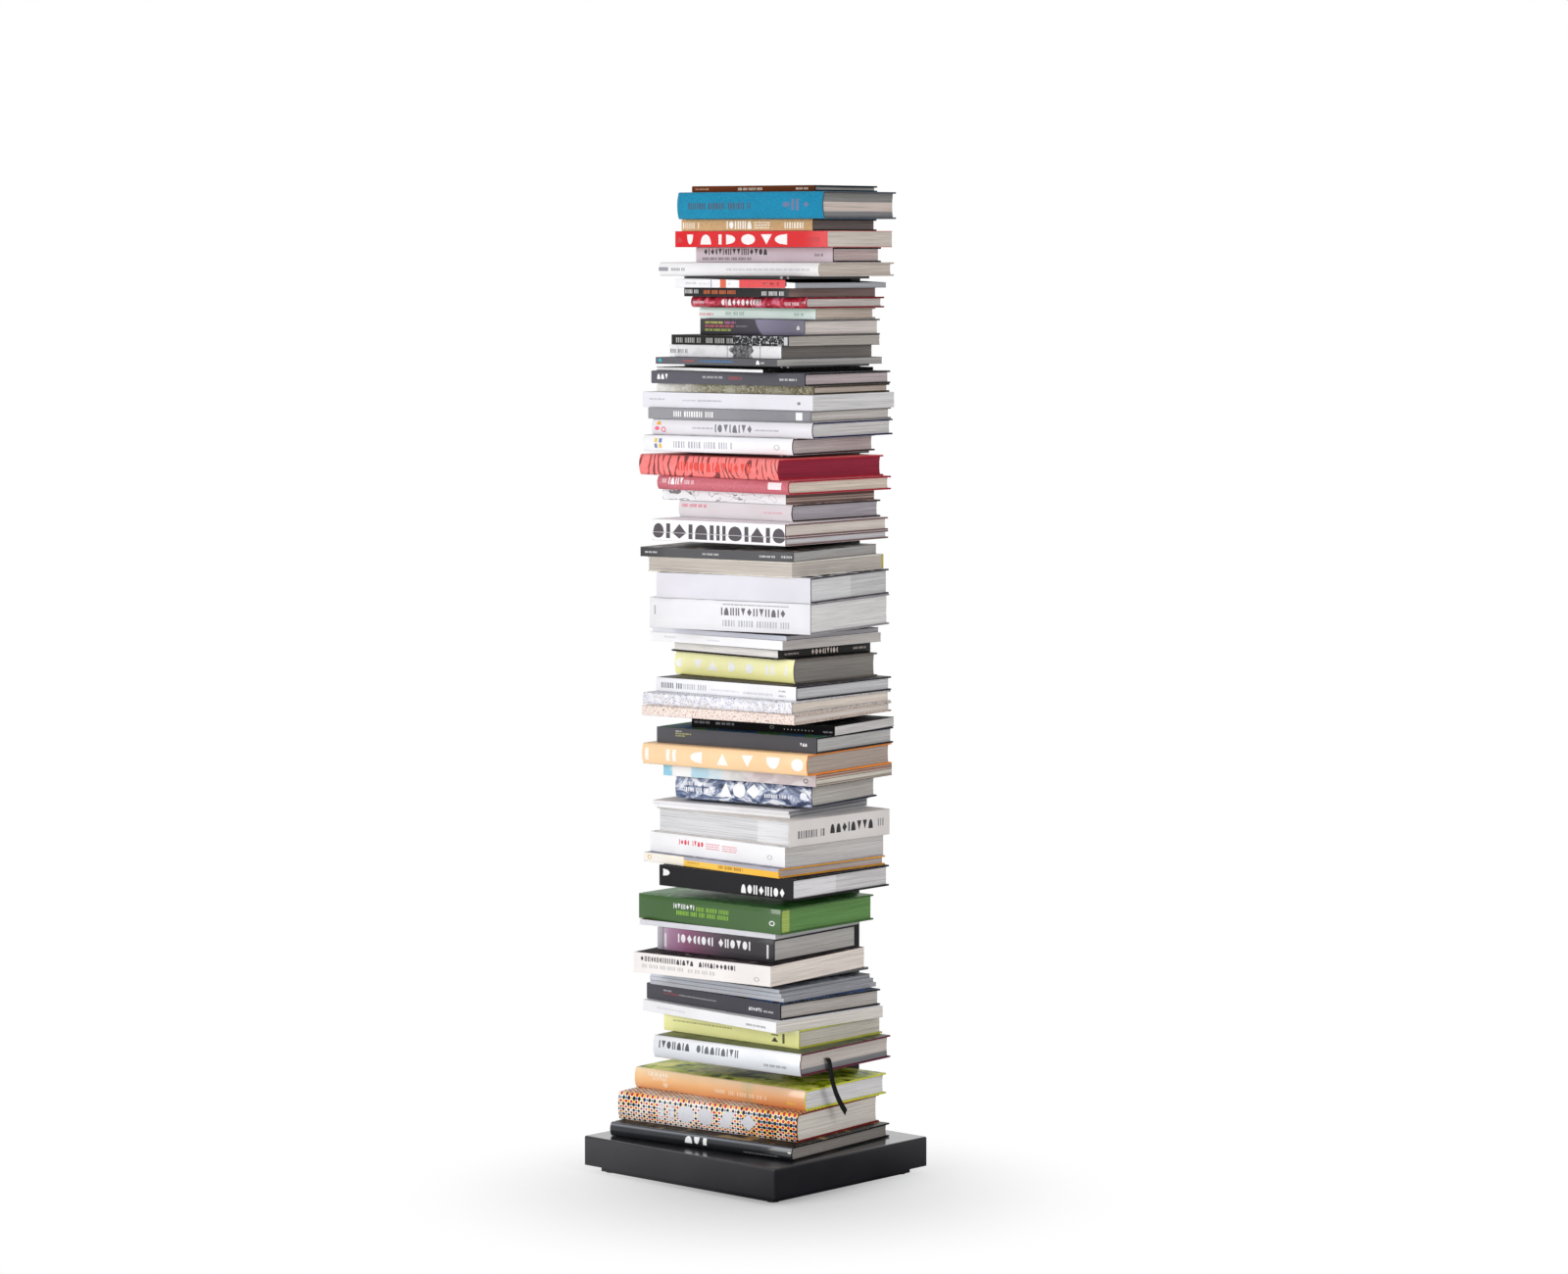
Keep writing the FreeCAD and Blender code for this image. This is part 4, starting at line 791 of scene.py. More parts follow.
# the stack on shelf 7, from its lowest book up
bays.append({
    "lowMarked": {
        "node": "two_volume_set", "size": (270, 272, 13.5), "turn": 4.5, "shift": 26, "pull": 7,
        "binding": "flat", "finish": "film", "edge": (124, 94, 90), "paper": (222, 221, 224),
        "spine": [(247, 247, 250), (247, 247, 250)], "ink": (75, 68, 75),
        "marks": [
            ("halfDown", 0.01, 0.09, 0.66, 0.68), ("block", 0.11, 0.14, 0.66, 0.68),
            ("wedgeDown", 0.16, 0.26, 0.66, 0.68), ("block", 0.28, 0.31, 0.66, 0.68),
            ("block", 0.33, 0.42, 0.66, 0.68), ("block", 0.44, 0.47, 0.66, 0.68),
            ("bars", 0.49, 0.56, 0.66, 0.68), ("halfDown", 0.58, 0.68, 0.66, 0.68),
            ("block", 0.7, 0.73, 0.66, 0.68), ("block", 0.75, 0.84, 0.66, 0.68),
            ("block", 0.86, 0.89, 0.66, 0.68), ("halfDown", 0.91, 1, 0.66, 0.68),
        ],
    },
    "topMarked": {
        "node": "two_volume_set", "size": (269, 272, 21), "turn": 4.5, "shift": 26, "pull": 7,
        "binding": "flat", "finish": "film", "edge": (124, 94, 90), "paper": (236, 226, 217),
        "spine": [(248, 248, 251), (248, 248, 251)], "ink": (75, 68, 75),
        "marks": [
            ("halfUp", 0.01, 0.09, 0.345, 0.69), ("block", 0.11, 0.14, 0.345, 0.69),
            ("wedgeUp", 0.16, 0.26, 0.345, 0.69), ("block", 0.28, 0.31, 0.345, 0.69),
            ("halfUp", 0.33, 0.42, 0.345, 0.69), ("block", 0.44, 0.47, 0.345, 0.69),
            ("bars", 0.49, 0.56, 0.345, 0.69), ("halfUp", 0.58, 0.68, 0.345, 0.69),
            ("block", 0.7, 0.73, 0.345, 0.69), ("wedgeUp", 0.75, 0.84, 0.345, 0.69),
            ("block", 0.86, 0.89, 0.345, 0.69), ("halfUp", 0.91, 1, 0.345, 0.69),
        ],
    },
    "warmGrey": {
        "node": "warm_grey_and_sketch_books", "size": (239, 221, 27.5), "turn": 1.5, "shift": 25, "pull": 3,
        "binding": "round", "finish": "matte", "edge": (60, 44, 44), "paper": (186, 181, 187),
        "spine": [(228, 224, 226), (220, 214, 217)],
        "top": [(120, 112, 108), (214, 208, 204), (60, 54, 52)],
        "marks": [
            ("words", 0.03, 0.25, 0.72, 0.22, (232, 62, 104)),
            ("words", 0.76, 0.92, 0.5, 0.13, (232, 164, 176)),
        ],
    },
    "sketch": {
        "node": "warm_grey_and_sketch_books", "size": (261, 222, 17), "turn": 2, "shift": 2, "pull": 4,
        "binding": "soft", "finish": "matte", "edge": (120, 96, 88), "paper": (172, 146, 136),
        "pattern": "scribble", "spine": [(242, 246, 247), (238, 242, 244)],
        "bands": [
            (0, (122, 100, 94)), (0.2, (150, 130, 120)), (0.28, (226, 214, 204)), (0.4, (150, 128, 118)),
            (0.55, (206, 190, 178)), (0.62, (112, 88, 82)), (1, (134, 114, 108)),
        ],
    },
    "crimson": {
        "node": "crimson_book", "size": (284, 248, 22), "turn": 0, "shift": 25, "pull": 1,
        "binding": "round", "finish": "cloth", "edge": (172, 34, 50), "paper": (230, 216, 200),
        "spine": [(234, 130, 144), (226, 118, 130)],
        # up the spine: a painted highlight down the middle of its round, darker at both edges
        "fall": [(214, 108, 120), (240, 142, 154), (212, 102, 114)],
        "marks": [
            ("words", 0.04, 0.07, 0.68, 0.36, (250, 220, 222)),
            ("blocks", 0.09, 0.2, 0.66, 0.5, (255, 250, 250)),
            ("words", 0.21, 0.29, 0.64, 0.36, (248, 214, 218)),
            ("block", 0.85, 0.95, 0.6, 0.5, (250, 234, 236)),
        ],
    },
    "salmon": {
        "node": "salmon_book", "size": (310, 247, 33.5), "turn": -1.5, "shift": 0, "pull": 0,
        "binding": "round", "finish": "film", "edge": (186, 34, 52), "paper": (158, 46, 68),
        "pattern": "swirl", "spine": [(252, 134, 132), (242, 128, 124)],
        "marks": [
            ("blocks", 0.28, 0.82, 0.5, 0.46, (238, 76, 66)),
        ],
    },
})

# the stack on shelf 8, from its lowest book up
bays.append({
    "pale": {
        "node": "pale_book", "size": (292, 236, 26.5), "turn": 7.5, "shift": -16, "pull": 4,
        "binding": "round", "finish": "film", "edge": (50, 10, 18), "paper": (202, 188, 186),
        "spine": [(246, 246, 249), (240, 240, 243)],
        "top": [(236, 234, 236), (210, 206, 208), (180, 176, 180)],
        "marks": [
            ("block", 0.08, 0.1, 0.68, 0.26, (232, 196, 92)),
            ("block", 0.11, 0.13, 0.68, 0.26, (108, 130, 176)),
            ("block", 0.08, 0.1, 0.36, 0.26, (128, 138, 160)),
            ("block", 0.11, 0.13, 0.36, 0.26, (236, 190, 74)),
            ("words", 0.21, 0.61, 0.5, 0.46, (176, 176, 182)),
            ("ring", 0.88, 0.92, 0.45, 0.34, (198, 198, 204)),
        ],
    },
    "navy": {
        "node": "navy_and_grey_books", "size": (312, 231, 25.5), "turn": 7.5, "shift": 5, "pull": 0,
        "binding": "round", "finish": "film", "edge": (2, 8, 70), "paper": (226, 222, 221),
        "spine": [(230, 228, 232), (224, 222, 227)],
        "marks": [
            ("halfUp", 0.03, 0.06, 0.75, 0.22, (240, 168, 50)),
            ("disc", 0.02, 0.05, 0.42, 0.26, (240, 96, 130)),
            ("ring", 0.06, 0.09, 0.35, 0.34, (232, 72, 112)),
            ("words", 0.26, 0.39, 0.5, 0.12, (130, 130, 138)),
            ("blocks", 0.4, 0.64, 0.5, 0.5, (112, 112, 118)),
            ("words", 0.65, 0.8, 0.45, 0.12, (140, 140, 148)),
        ],
    },
    "midGrey": {
        "node": "navy_and_grey_books", "size": (317, 229, 18.5), "turn": 7.5, "shift": 0, "pull": 1,
        "binding": "flat", "finish": "film", "edge": (140, 136, 132), "paper": (216, 210, 205),
        "spine": [(154, 154, 158), (120, 120, 126)],
        "marks": [
            ("words", 0.16, 0.41, 0.52, 0.58, (248, 248, 248)),
            ("block", 0.91, 0.95, 0.5, 0.66, (236, 236, 238)),
        ],
    },
    "plainWhite": {
        "node": "white_and_khaki_books", "size": (336, 227, 24.5), "turn": 6.5, "shift": -2, "pull": 1,
        "binding": "soft", "finish": "matte", "edge": (226, 226, 228), "paper": (230, 229, 228),
        "spine": [(231, 230, 236), (227, 226, 232)],
        "marks": [
            ("words", 0.04, 0.13, 0.55, 0.11, (150, 152, 168)),
            ("words", 0.24, 0.32, 0.5, 0.12, (172, 172, 188)),
            ("words", 0.33, 0.47, 0.5, 0.13, (136, 138, 156)),
            ("disc", 0.91, 0.93, 0.45, 0.22, (128, 130, 138)),
        ],
    },
    "khaki": {
        "node": "white_and_khaki_books", "size": (310, 211, 14), "turn": 6.5, "shift": 2, "pull": 2,
        "binding": "flat", "finish": "matte", "edge": (60, 52, 40), "paper": (208, 193, 179),
        "pattern": "grid",
        "spine": [
            (0, (246, 244, 238)), (0.22, (230, 228, 220)), (0.3, (198, 196, 176)), (0.7, (178, 174, 154)),
            (1, (142, 134, 114)),
        ],
        "marks": [
            ("lines", 0.26, 0.32, 0.5, 0.5, (186, 182, 168)),
        ],
    },
    "darkGrey": {
        "node": "dark_grey_and_thin_books", "size": (307, 232, 20.5), "turn": 5.5, "shift": 7, "pull": 3,
        "binding": "flat", "finish": "matte", "edge": (22, 19, 21), "paper": (200, 186, 188),
        "spine": [(100, 99, 107), (88, 87, 94)],
        "marks": [
            ("blocks", 0.04, 0.11, 0.55, 0.42, (244, 244, 242)),
            ("words", 0.34, 0.47, 0.58, 0.2, (206, 206, 206)),
            ("words", 0.51, 0.6, 0.55, 0.3, (172, 64, 66)),
            ("words", 0.84, 0.95, 0.5, 0.2, (226, 226, 226)),
        ],
    },
    "turnedThin": {
        "node": "dark_grey_and_thin_books", "size": (252, 242, 6), "turn": -4.5, "shift": 17, "pull": 0,
        "binding": "turnedSoft", "finish": "matte", "edge": (16, 15, 16), "paper": (255, 255, 254),
        "spine": [(10, 10, 10), (10, 10, 10)], "panels": [(0, 1, (255, 255, 255))],
    },
})

# the stack on shelf 9, from its lowest book up
bays.append({
    "greyCyan": {
        "node": "grey_paperbacks", "size": (261, 254, 11), "turn": 0.5, "shift": 19, "pull": 4,
        "binding": "soft", "finish": "matte", "edge": (128, 124, 122), "paper": (182, 180, 176),
        "spine": [(104, 104, 110), (94, 94, 98)],
        "marks": [
            ("block", 0.02, 0.05, 0.55, 0.44, (60, 172, 190)),
            ("words", 0.23, 0.32, 0.55, 0.3, (206, 76, 66)),
            ("words", 0.37, 0.64, 0.55, 0.3, (44, 132, 196)),
            ("halfUp", 0.83, 0.86, 0.5, 0.62, (240, 240, 240)),
            ("words", 0.87, 0.9, 0.45, 0.28, (232, 232, 232)),
        ],
    },
    "photoGrey": {
        "node": "grey_paperbacks", "size": (250, 211, 19.5), "turn": -1.5, "shift": 6, "pull": 2,
        "binding": "soft", "finish": "film", "edge": (96, 94, 92), "paper": (140, 136, 132),
        "pattern": "photo", "spine": [(250, 250, 252), (248, 248, 250)], "ink": (200, 200, 202),
        "marks": [
            ("words", 0.01, 0.17, 0.5, 0.38, (92, 92, 98)), ("block", 0.22, 0.22, 0.5, 1, (196, 196, 198)),
            ("block", 0.35, 0.35, 0.5, 1, (204, 204, 206)), ("block", 0.52, 0.53, 0.5, 1),
            ("block", 0.81, 0.82, 0.5, 1), ("block", 0.94, 0.94, 0.5, 1, (206, 206, 208)),
        ],
    },
    "slimBlack": {
        "node": "grey_paperbacks", "size": (259, 214, 16), "turn": -1, "shift": 17, "pull": 2,
        "binding": "soft", "finish": "film", "edge": (96, 92, 88), "paper": (188, 182, 174),
        "pattern": "static", "spine": [(10, 10, 12), (14, 14, 16)], "ink": (186, 186, 182),
        "marks": [
            ("words", 0.04, 0.26, 0.5, 0.6), ("words", 0.3, 0.53, 0.5, 0.6),
            ("block", 0.96, 0.99, 0.5, 0.8, (206, 208, 212)),
        ],
    },
    "slate": {
        "node": "slate_and_mint_books", "size": (227, 181, 25.5), "turn": -0.5, "shift": 30, "pull": 0,
        "binding": "flat", "finish": "film", "edge": (110, 106, 106), "paper": (228, 219, 213),
        "pattern": "lens", "spine": [(62, 62, 66), (84, 80, 92)],
        "marks": [
            ("words", 0.05, 0.23, 0.78, 0.17, (228, 218, 112)),
            ("words", 0.24, 0.35, 0.78, 0.17, (222, 118, 170)),
            ("words", 0.05, 0.33, 0.55, 0.17, (228, 104, 112)),
            ("words", 0.35, 0.46, 0.55, 0.15, (140, 136, 142)),
            ("words", 0.05, 0.3, 0.31, 0.17, (206, 214, 92)),
            ("halfUp", 0.93, 0.96, 0.5, 0.26, (226, 226, 228)),
        ],
    },
    "mint": {
        "node": "slate_and_mint_books", "size": (241, 154, 18), "turn": 3, "shift": 11, "pull": 2,
        "binding": "flat", "finish": "matte", "edge": (196, 184, 168), "paper": (228, 215, 200),
        "spine": [(0, (246, 252, 250)), (0.3, (238, 255, 248)), (1, (232, 255, 246))],
        "fall": [
            (0, (240, 255, 250)), (0.72, (234, 255, 247)), (0.78, (186, 226, 206)), (1, (190, 228, 210)),
        ],
        "marks": [
            ("words", 0, 0.12, 0.4, 0.26, (238, 92, 118)),
            ("words", 0.23, 0.39, 0.5, 0.36, (150, 188, 172)),
            ("words", 0.82, 0.9, 0.45, 0.3, (156, 186, 174)),
        ],
    },
    "raspberry": {
        "node": "raspberry_and_black_books", "size": (251, 187, 17.5), "turn": -0.5, "shift": 28, "pull": 1,
        "binding": "round", "finish": "gloss", "edge": (128, 20, 34), "paper": (212, 206, 200),
        "pattern": "bloom", "spine": [(150, 40, 60), (176, 46, 74), (120, 28, 46)],
        "marks": [
            ("words", 0.02, 0.12, 0.5, 0.26, (246, 226, 232)),
            ("blocks", 0.27, 0.63, 0.5, 0.6, (252, 240, 244)),
            ("words", 0.82, 0.94, 0.42, 0.36, (244, 222, 228)),
        ],
    },
    "blackOrange": {
        "node": "raspberry_and_black_books", "size": (240, 196, 14.5), "turn": -3.5, "shift": 24, "pull": 0,
        "binding": "soft", "finish": "film", "edge": (80, 66, 64), "paper": (148, 126, 121),
        "spine": [(26, 26, 28), (36, 35, 37)],
        "marks": [
            ("words", 0.01, 0.14, 0.6, 0.5, (244, 242, 240)),
            ("words", 0.19, 0.5, 0.55, 0.5, (232, 118, 62)),
            ("words", 0.75, 0.96, 0.45, 0.55, (240, 238, 236)),
        ],
    },
    "saggingMagazine": {
        "node": "raspberry_and_black_books", "size": (267, 212, 13.5), "turn": -1.5, "shift": 27, "pull": 0,
        "binding": "soft", "finish": "film", "edge": (150, 152, 156), "paper": (178, 180, 186), "sag": 5,
        "spine": [(246, 246, 248), (247, 247, 248)], "top": [(16, 16, 18), (22, 22, 24), (34, 34, 36)],
        "marks": [
            ("words", 0.09, 0.18, 0.55, 0.3, (196, 196, 202)),
            ("words", 0.2, 0.29, 0.5, 0.3, (214, 214, 220)), ("block", 0.3, 0.31, 0.5, 1, (176, 180, 186)),
            ("block", 0.38, 0.43, 0.5, 0.98, (226, 104, 72)),
            ("words", 0.45, 0.47, 0.5, 0.3, (206, 206, 212)),
            ("block", 0.54, 0.92, 0.5, 0.98, (230, 78, 80)),
            ("words", 0.74, 0.83, 0.55, 0.34, (250, 224, 222)),
            ("disc", 0.85, 0.87, 0.5, 0.5, (250, 232, 230)), ("block", 0.92, 0.93, 0.5, 0.6, (60, 60, 64)),
        ],
    },
})

# the stack on shelf 10, from its lowest book up
bays.append({
    "roundedWhite": {
        "node": "white_and_lilac_books", "size": (323, 201, 22), "turn": 4.5, "shift": 5, "pull": 1,
        "binding": "round", "finish": "film", "edge": (196, 184, 172), "paper": (216, 205, 194),
        "spine": [(0, (244, 243, 243)), (0.3, (234, 233, 234)), (1, (224, 221, 220))],
        "marks": [
            ("block", 0, 0.06, 0.5, 0.28, (150, 150, 156)),
            ("words", 0.08, 0.17, 0.5, 0.26, (120, 120, 128)),
            ("words", 0.43, 0.95, 0.5, 0.2, (178, 178, 186)),
        ],
    },
    "lilacGrey": {
        "node": "white_and_lilac_books", "size": (274, 132, 24), "turn": 5.5, "shift": 3, "pull": 1,
        "binding": "flat", "finish": "matte", "edge": (44, 36, 40), "paper": (220, 210, 207),
        "spine": [(226, 222, 230), (218, 213, 222)],
        "marks": [
            ("blocks", 0.06, 0.54, 0.7, 0.42, (44, 40, 46)),
            ("words", 0.05, 0.41, 0.25, 0.22, (84, 78, 86)), ("words", 0.87, 0.93, 0.5, 0.2, (60, 52, 58)),
        ],
    },
    "red": {
        "node": "red_and_tan_books", "size": (311, 170, 26), "turn": 4, "shift": 8, "pull": 1,
        "binding": "soft", "finish": "film", "edge": (206, 60, 60), "paper": (224, 214, 203),
        "spine": [(224, 22, 32), (212, 16, 26)], "ink": (250, 240, 238),
        "marks": [
            ("wedgeUp", 0.01, 0.05, 0.5, 0.4, (206, 52, 54)), ("halfDown", 0.08, 0.12, 0.48, 0.62),
            ("halfUp", 0.17, 0.24, 0.48, 0.62), ("block", 0.29, 0.31, 0.48, 0.62),
            ("halfLeft", 0.34, 0.4, 0.48, 0.62), ("disc", 0.44, 0.53, 0.48, 0.66),
            ("wedgeDown", 0.57, 0.64, 0.48, 0.62), ("halfRight", 0.66, 0.74, 0.48, 0.66),
            ("words", 0.88, 0.96, 0.5, 0.34, (190, 36, 42)),
        ],
    },
    "tan": {
        "node": "red_and_tan_books", "size": (268, 168, 19), "turn": 4, "shift": -1, "pull": 2,
        "binding": "flat", "finish": "cloth", "edge": (62, 58, 56), "paper": (144, 134, 128),
        "spine": [(238, 192, 138), (222, 178, 128)], "top": [(60, 54, 50), (70, 64, 60), (50, 46, 44)],
        "marks": [
            ("words", 0.01, 0.14, 0.5, 0.62, (247, 232, 212)),
            ("blocks", 0.35, 0.56, 0.5, 0.66, (252, 246, 238)),
            ("lines", 0.56, 0.68, 0.5, 0.6, (245, 230, 210)),
            ("words", 0.79, 0.95, 0.5, 0.62, (248, 236, 218)),
        ],
    },
    "blueCloth": {
        "node": "blue_and_brown_books", "size": (298, 191, 43), "turn": 3.5, "shift": 22, "pull": 0,
        "binding": "round", "finish": "cloth", "edge": (84, 84, 88), "paper": (150, 150, 150),
        "spine": [(30, 156, 198), (26, 148, 190)],
        "bands": [
            (0, (138, 138, 140)), (0.26, (146, 146, 148)), (0.28, (222, 206, 197)), (0.6, (222, 208, 198)),
            (0.62, (150, 150, 148)), (1, (128, 128, 126)),
        ],
        "ink": (96, 112, 150),
        "marks": [
            ("words", 0.08, 0.51, 0.5, 0.28, (62, 70, 92)), ("disc", 0.73, 0.78, 0.52, 0.2),
            ("bars", 0.79, 0.84, 0.52, 0.42, (100, 112, 150)), ("diamond", 0.87, 0.91, 0.52, 0.2),
        ],
    },
    "slimBrown": {
        "node": "blue_and_brown_books", "size": (247, 168, 10), "turn": 5, "shift": 10, "pull": 2,
        "binding": "flat", "finish": "matte", "edge": (18, 16, 18), "paper": (184, 182, 180),
        "spine": [(108, 48, 12), (86, 40, 8)], "top": [(64, 58, 56), (48, 44, 44), (90, 84, 80)],
        "marks": [
            ("words", 0.03, 0.14, 0.5, 0.32, (196, 160, 125)),
            ("words", 0.38, 0.58, 0.5, 0.5, (226, 206, 186)),
            ("words", 0.85, 0.95, 0.5, 0.42, (222, 200, 180)),
        ],
    },
})

# how the covers feel: bare paper, laminated film, high gloss, book cloth and silvered film
coverKinds = {
    "matte": {"roughness": 0.65, "Specular_IOR_Level": 0.12},
    "film": {"roughness": 0.42, "Specular_IOR_Level": 0.3, "Coat_Weight": 0.12, "Coat_Roughness": 0.2},
    "gloss": {"roughness": 0.32, "Specular_IOR_Level": 0.3, "Coat_Weight": 0.55, "Coat_Roughness": 0.06},
    "cloth": {"roughness": 0.85, "Specular_IOR_Level": 0.2, "Sheen_Weight": 0.08},
    "silver": {"roughness": 0.34, "Metallic": 0.2, "Coat_Weight": 0.25, "Coat_Roughness": 0.15},
}

# the dotted book's coarse print screen: dots per metre, where along the spine they are smallest, and four
# inks that take turns, each with its place in the screen, the reach of its dots and its colours
printScreen = {
    "lattice": (95, 112, 0), "smallest": 0.38, "growth": 0.14, "wander": 0.03,
    "inks": [
        ((0, 0.5, 0), 0.17, [(0, (252, 204, 40)), (0.7, (246, 166, 60))]),
        ((0.5, 0, 0), 0.11, [(0, (20, 110, 132)), (0.6, (250, 206, 44))]),
        ((0.5, 0.5, 0), 0.18, [(0, (206, 18, 50)), (0.75, (120, 16, 44))]),
        ((0, 0, 0), 0.23, [(0, (24, 12, 22)), (0.7, (18, 34, 66))]),
    ],
}

# prints that are one cloud of inks: how the cloud lies, and how much of the cover's own tone it takes
cloudPrints = {
    "mottle": {
        "stretch": 1, "scale": 300, "detail": 4, "rough": 0.7, "bend": 0, "share": 0.85,
        "inks": [
            (0.38, (158, 96, 76)), (0.46, (240, 220, 208)), (0.55, (250, 246, 240)), (0.63, (204, 146, 110)),
        ],
    },
    "cloud": {
        "stretch": 0.6, "scale": 50, "detail": 5, "rough": 0.66, "bend": 1.2, "share": 0.9,
        "inks": [
            (0.36, (22, 32, 62)), (0.44, (66, 82, 118)), (0.51, (146, 158, 186)), (0.58, (246, 248, 252)),
        ],
    },
    "bloom": {
        "stretch": 1, "scale": 75, "detail": 3, "rough": 0.6, "bend": 1.2, "share": 0.85,
        "inks": [
            (0.3, (60, 10, 20)), (0.44, (166, 28, 44)), (0.55, (214, 54, 78)), (0.63, (244, 136, 160)),
            (0.74, (96, 14, 30)),
        ],
    },
}


# printed patterns; each takes the flat place on the cover, the shares along the spine and up it, and the
# tone that it is printed on
def dotsPattern(flat, along, upward, tone):
    ends = times(apart(along, printScreen["smallest"]), printScreen["growth"])
    swell = plus(ends, span(grain(flat, 30, 2), 0.35, 0.65, -0.03, 0.04))
    for place, reach, inks in printScreen["inks"]:
        moved = vector("MULTIPLY_ADD", flat, printScreen["lattice"], place)[0]
        pick, away = cells(moved, 1.0, printScreen["wander"])
        inside = calc("LESS_THAN", away, plus(swell, reach))
        tone = blendColours(inside, tone, ramp(pick, inks, "CONSTANT"))
    return tone


def swirlPattern(flat, along, upward, tone):           # brushed strokes
    lean = span(along, 0.0, 1.0, -0.35, 0.5)           # upright at one end, lying over at the other
    x, y = splitPlace(flat)[:2]
    skewed = flatPlace(plus(x, times(y, lean)), y)
    feeds = {"Vector": skewed, "Scale": 13.0, "Distortion": 15.0, "Detail": 2.0, "Detail Scale": 0.9}
    wave = addNode("ShaderNodeTexWave", feeds).outputs[1]
    wave = plus(wave, span(grain(flat, 38, 2), 0.35, 0.65, -0.14, 0.3))
    strokes = ramp(wave, [(0.1, (96, 86, 84)), (0.17, (176, 92, 86)), (0.25, (255, 255, 255))])
    light = span(grain(flat, 60, 2), 0.55, 0.7)
    tone = blendColours(times(light, 0.4), tone, paint((250, 170, 160)))
    return blendColours(0.85, tone, tinted(tone, strokes))


def specklePattern(flat, along, upward, tone):         # sprinkled blue and grey ink
    fine = span(grain(flat, 560, 3, 0.7), 0.53, 0.58)
    broad = span(grain(flat, 110, 2), 0.4, 0.52)
    inks = [(0.4, (66, 82, 156)), (0.56, (62, 62, 74)), (0.66, (140, 106, 86))]
    return blendColours(times(fine, broad), tone, ramp(grain(flat, 90, 1), inks))


def gridPattern(flat, along, upward, tone):            # small woven squares
    pick, away = cells(flat, 330.0, 0.25)
    tones = [(0, (100, 92, 58)), (0.3, (166, 160, 122)), (0.6, (232, 228, 204)), (0.8, (138, 130, 92))]
    tiles = ramp(pick, tones, "CONSTANT")
    tiles = blendColours(span(away, 0.36, 0.5), tiles, paint((74, 68, 44)))
    spots = span(grain(flat, 40, 3), 0.36, 0.5)
    return blendColours(times(span(along, 0.08, 0.3, 0.15, 0.6), spots), tone, tiles)


def scribblePattern(flat, along, upward, tone):        # loose pencil lines
    loops = grain(stretched(flat, 0.6, 1, 1), 42, 1.5, 0.5, 1.5)
    lines = span(apart(loops, 0.5), 0.014, 0.005, 0, 0.85)
    return blendColours(lines, tone, paint((96, 90, 94)))


def staticPattern(flat, along, upward, tone):          # pale noise on the right half
    dots = span(grain(flat, 230, 3, 0.7), 0.54, 0.58)
    part = times(span(along, 0.52, 0.56), span(along, 0.97, 0.95))
    return blendColours(times(times(dots, part), 0.9), tone, paint((206, 208, 214)))


def lensPattern(flat, along, upward, tone):            # the rim of a large pale disc
    across = times(minus(along, 1.02), 2.0)
    high = times(minus(upward, 1.25), 0.42)
    away = calc("SQRT", plus(times(across, across), times(high, high)))
    pale = ramp(along, [(0.5, (148, 142, 166)), (1, (102, 98, 114))])
    return blendColours(span(away, 0.99, 0.96), tone, pale)


def photoPattern(flat, along, upward, tone):           # a dark soft patch among pale tiles
    near = times(apart(along, 0.65), 5.0)
    blot = plus(near, times(grain(flat, 110, 3), 0.9))
    shade = ramp(grain(flat, 150, 4, 0.7), [(0.4, (50, 50, 54)), (0.6, (150, 150, 154))])
    paler = span(grain(flat, 40, 2), 0.5, 0.6, 0, 0.3)
    tone = blendColours(paler, tone, paint((206, 206, 208)))
    return blendColours(span(blot, 0.92, 0.84), tone, shade)


def stripPattern(flat, along, upward, tone):           # a pale strip along the upper edge of the spine
    part = times(span(upward, 0.66, 0.7), span(along, 0.3, 0.31))
    return blendColours(part, tone, paint((178, 178, 190)))


def ripplePattern(flat, along, upward, tone):
    soft = span(grain(stretched(flat, 0.5, 1, 1), 60, 3), 0.48, 0.6, 0, 0.35)
    return blendColours(soft, tone, paint((246, 246, 248)))


patterns = {
    "dots": dotsPattern, "swirl": swirlPattern, "speckle": specklePattern, "grid": gridPattern,
    "scribble": scribblePattern, "static": staticPattern, "lens": lensPattern, "photo": photoPattern,
    "strip": stripPattern, "ripple": ripplePattern,
}
allOver = ("dots", "speckle", "mottle")                # these run on over the boards
sprinkled = ("speckle", "mottle")      # and these turn in over the boards' edges


def printed(kind, flat, along, upward, tone):
    if kind not in cloudPrints:
        return patterns[kind](flat, along, upward, tone)
    look = cloudPrints[kind]
    place = stretched(flat, look["stretch"], 1, 1)
    cloud = grain(place, look["scale"], look["detail"], look["rough"], look["bend"])
    return blendColours(look["share"], tone, ramp(cloud, look["inks"]))


def wornEnds(where, share, width, most):               # scuffed in spots near both ends of a share
    rim = span(apart(share, 0.5), 0.5 - width, 0.5)
    return times(rim, span(grain(where, 260, 3), 0.45, 0.65, 0, most))


def clothWeave(where):                 # crossed threads, with slubs
    x, y, z = splitPlace(where)
    pitch = 8400
    warp = calc("SINE", times(x, pitch))
    weft = calc("SINE", times(plus(y, z), pitch))
    return times(warp, weft), grain(stretched(where, 200, 900, 900), 1, 3)


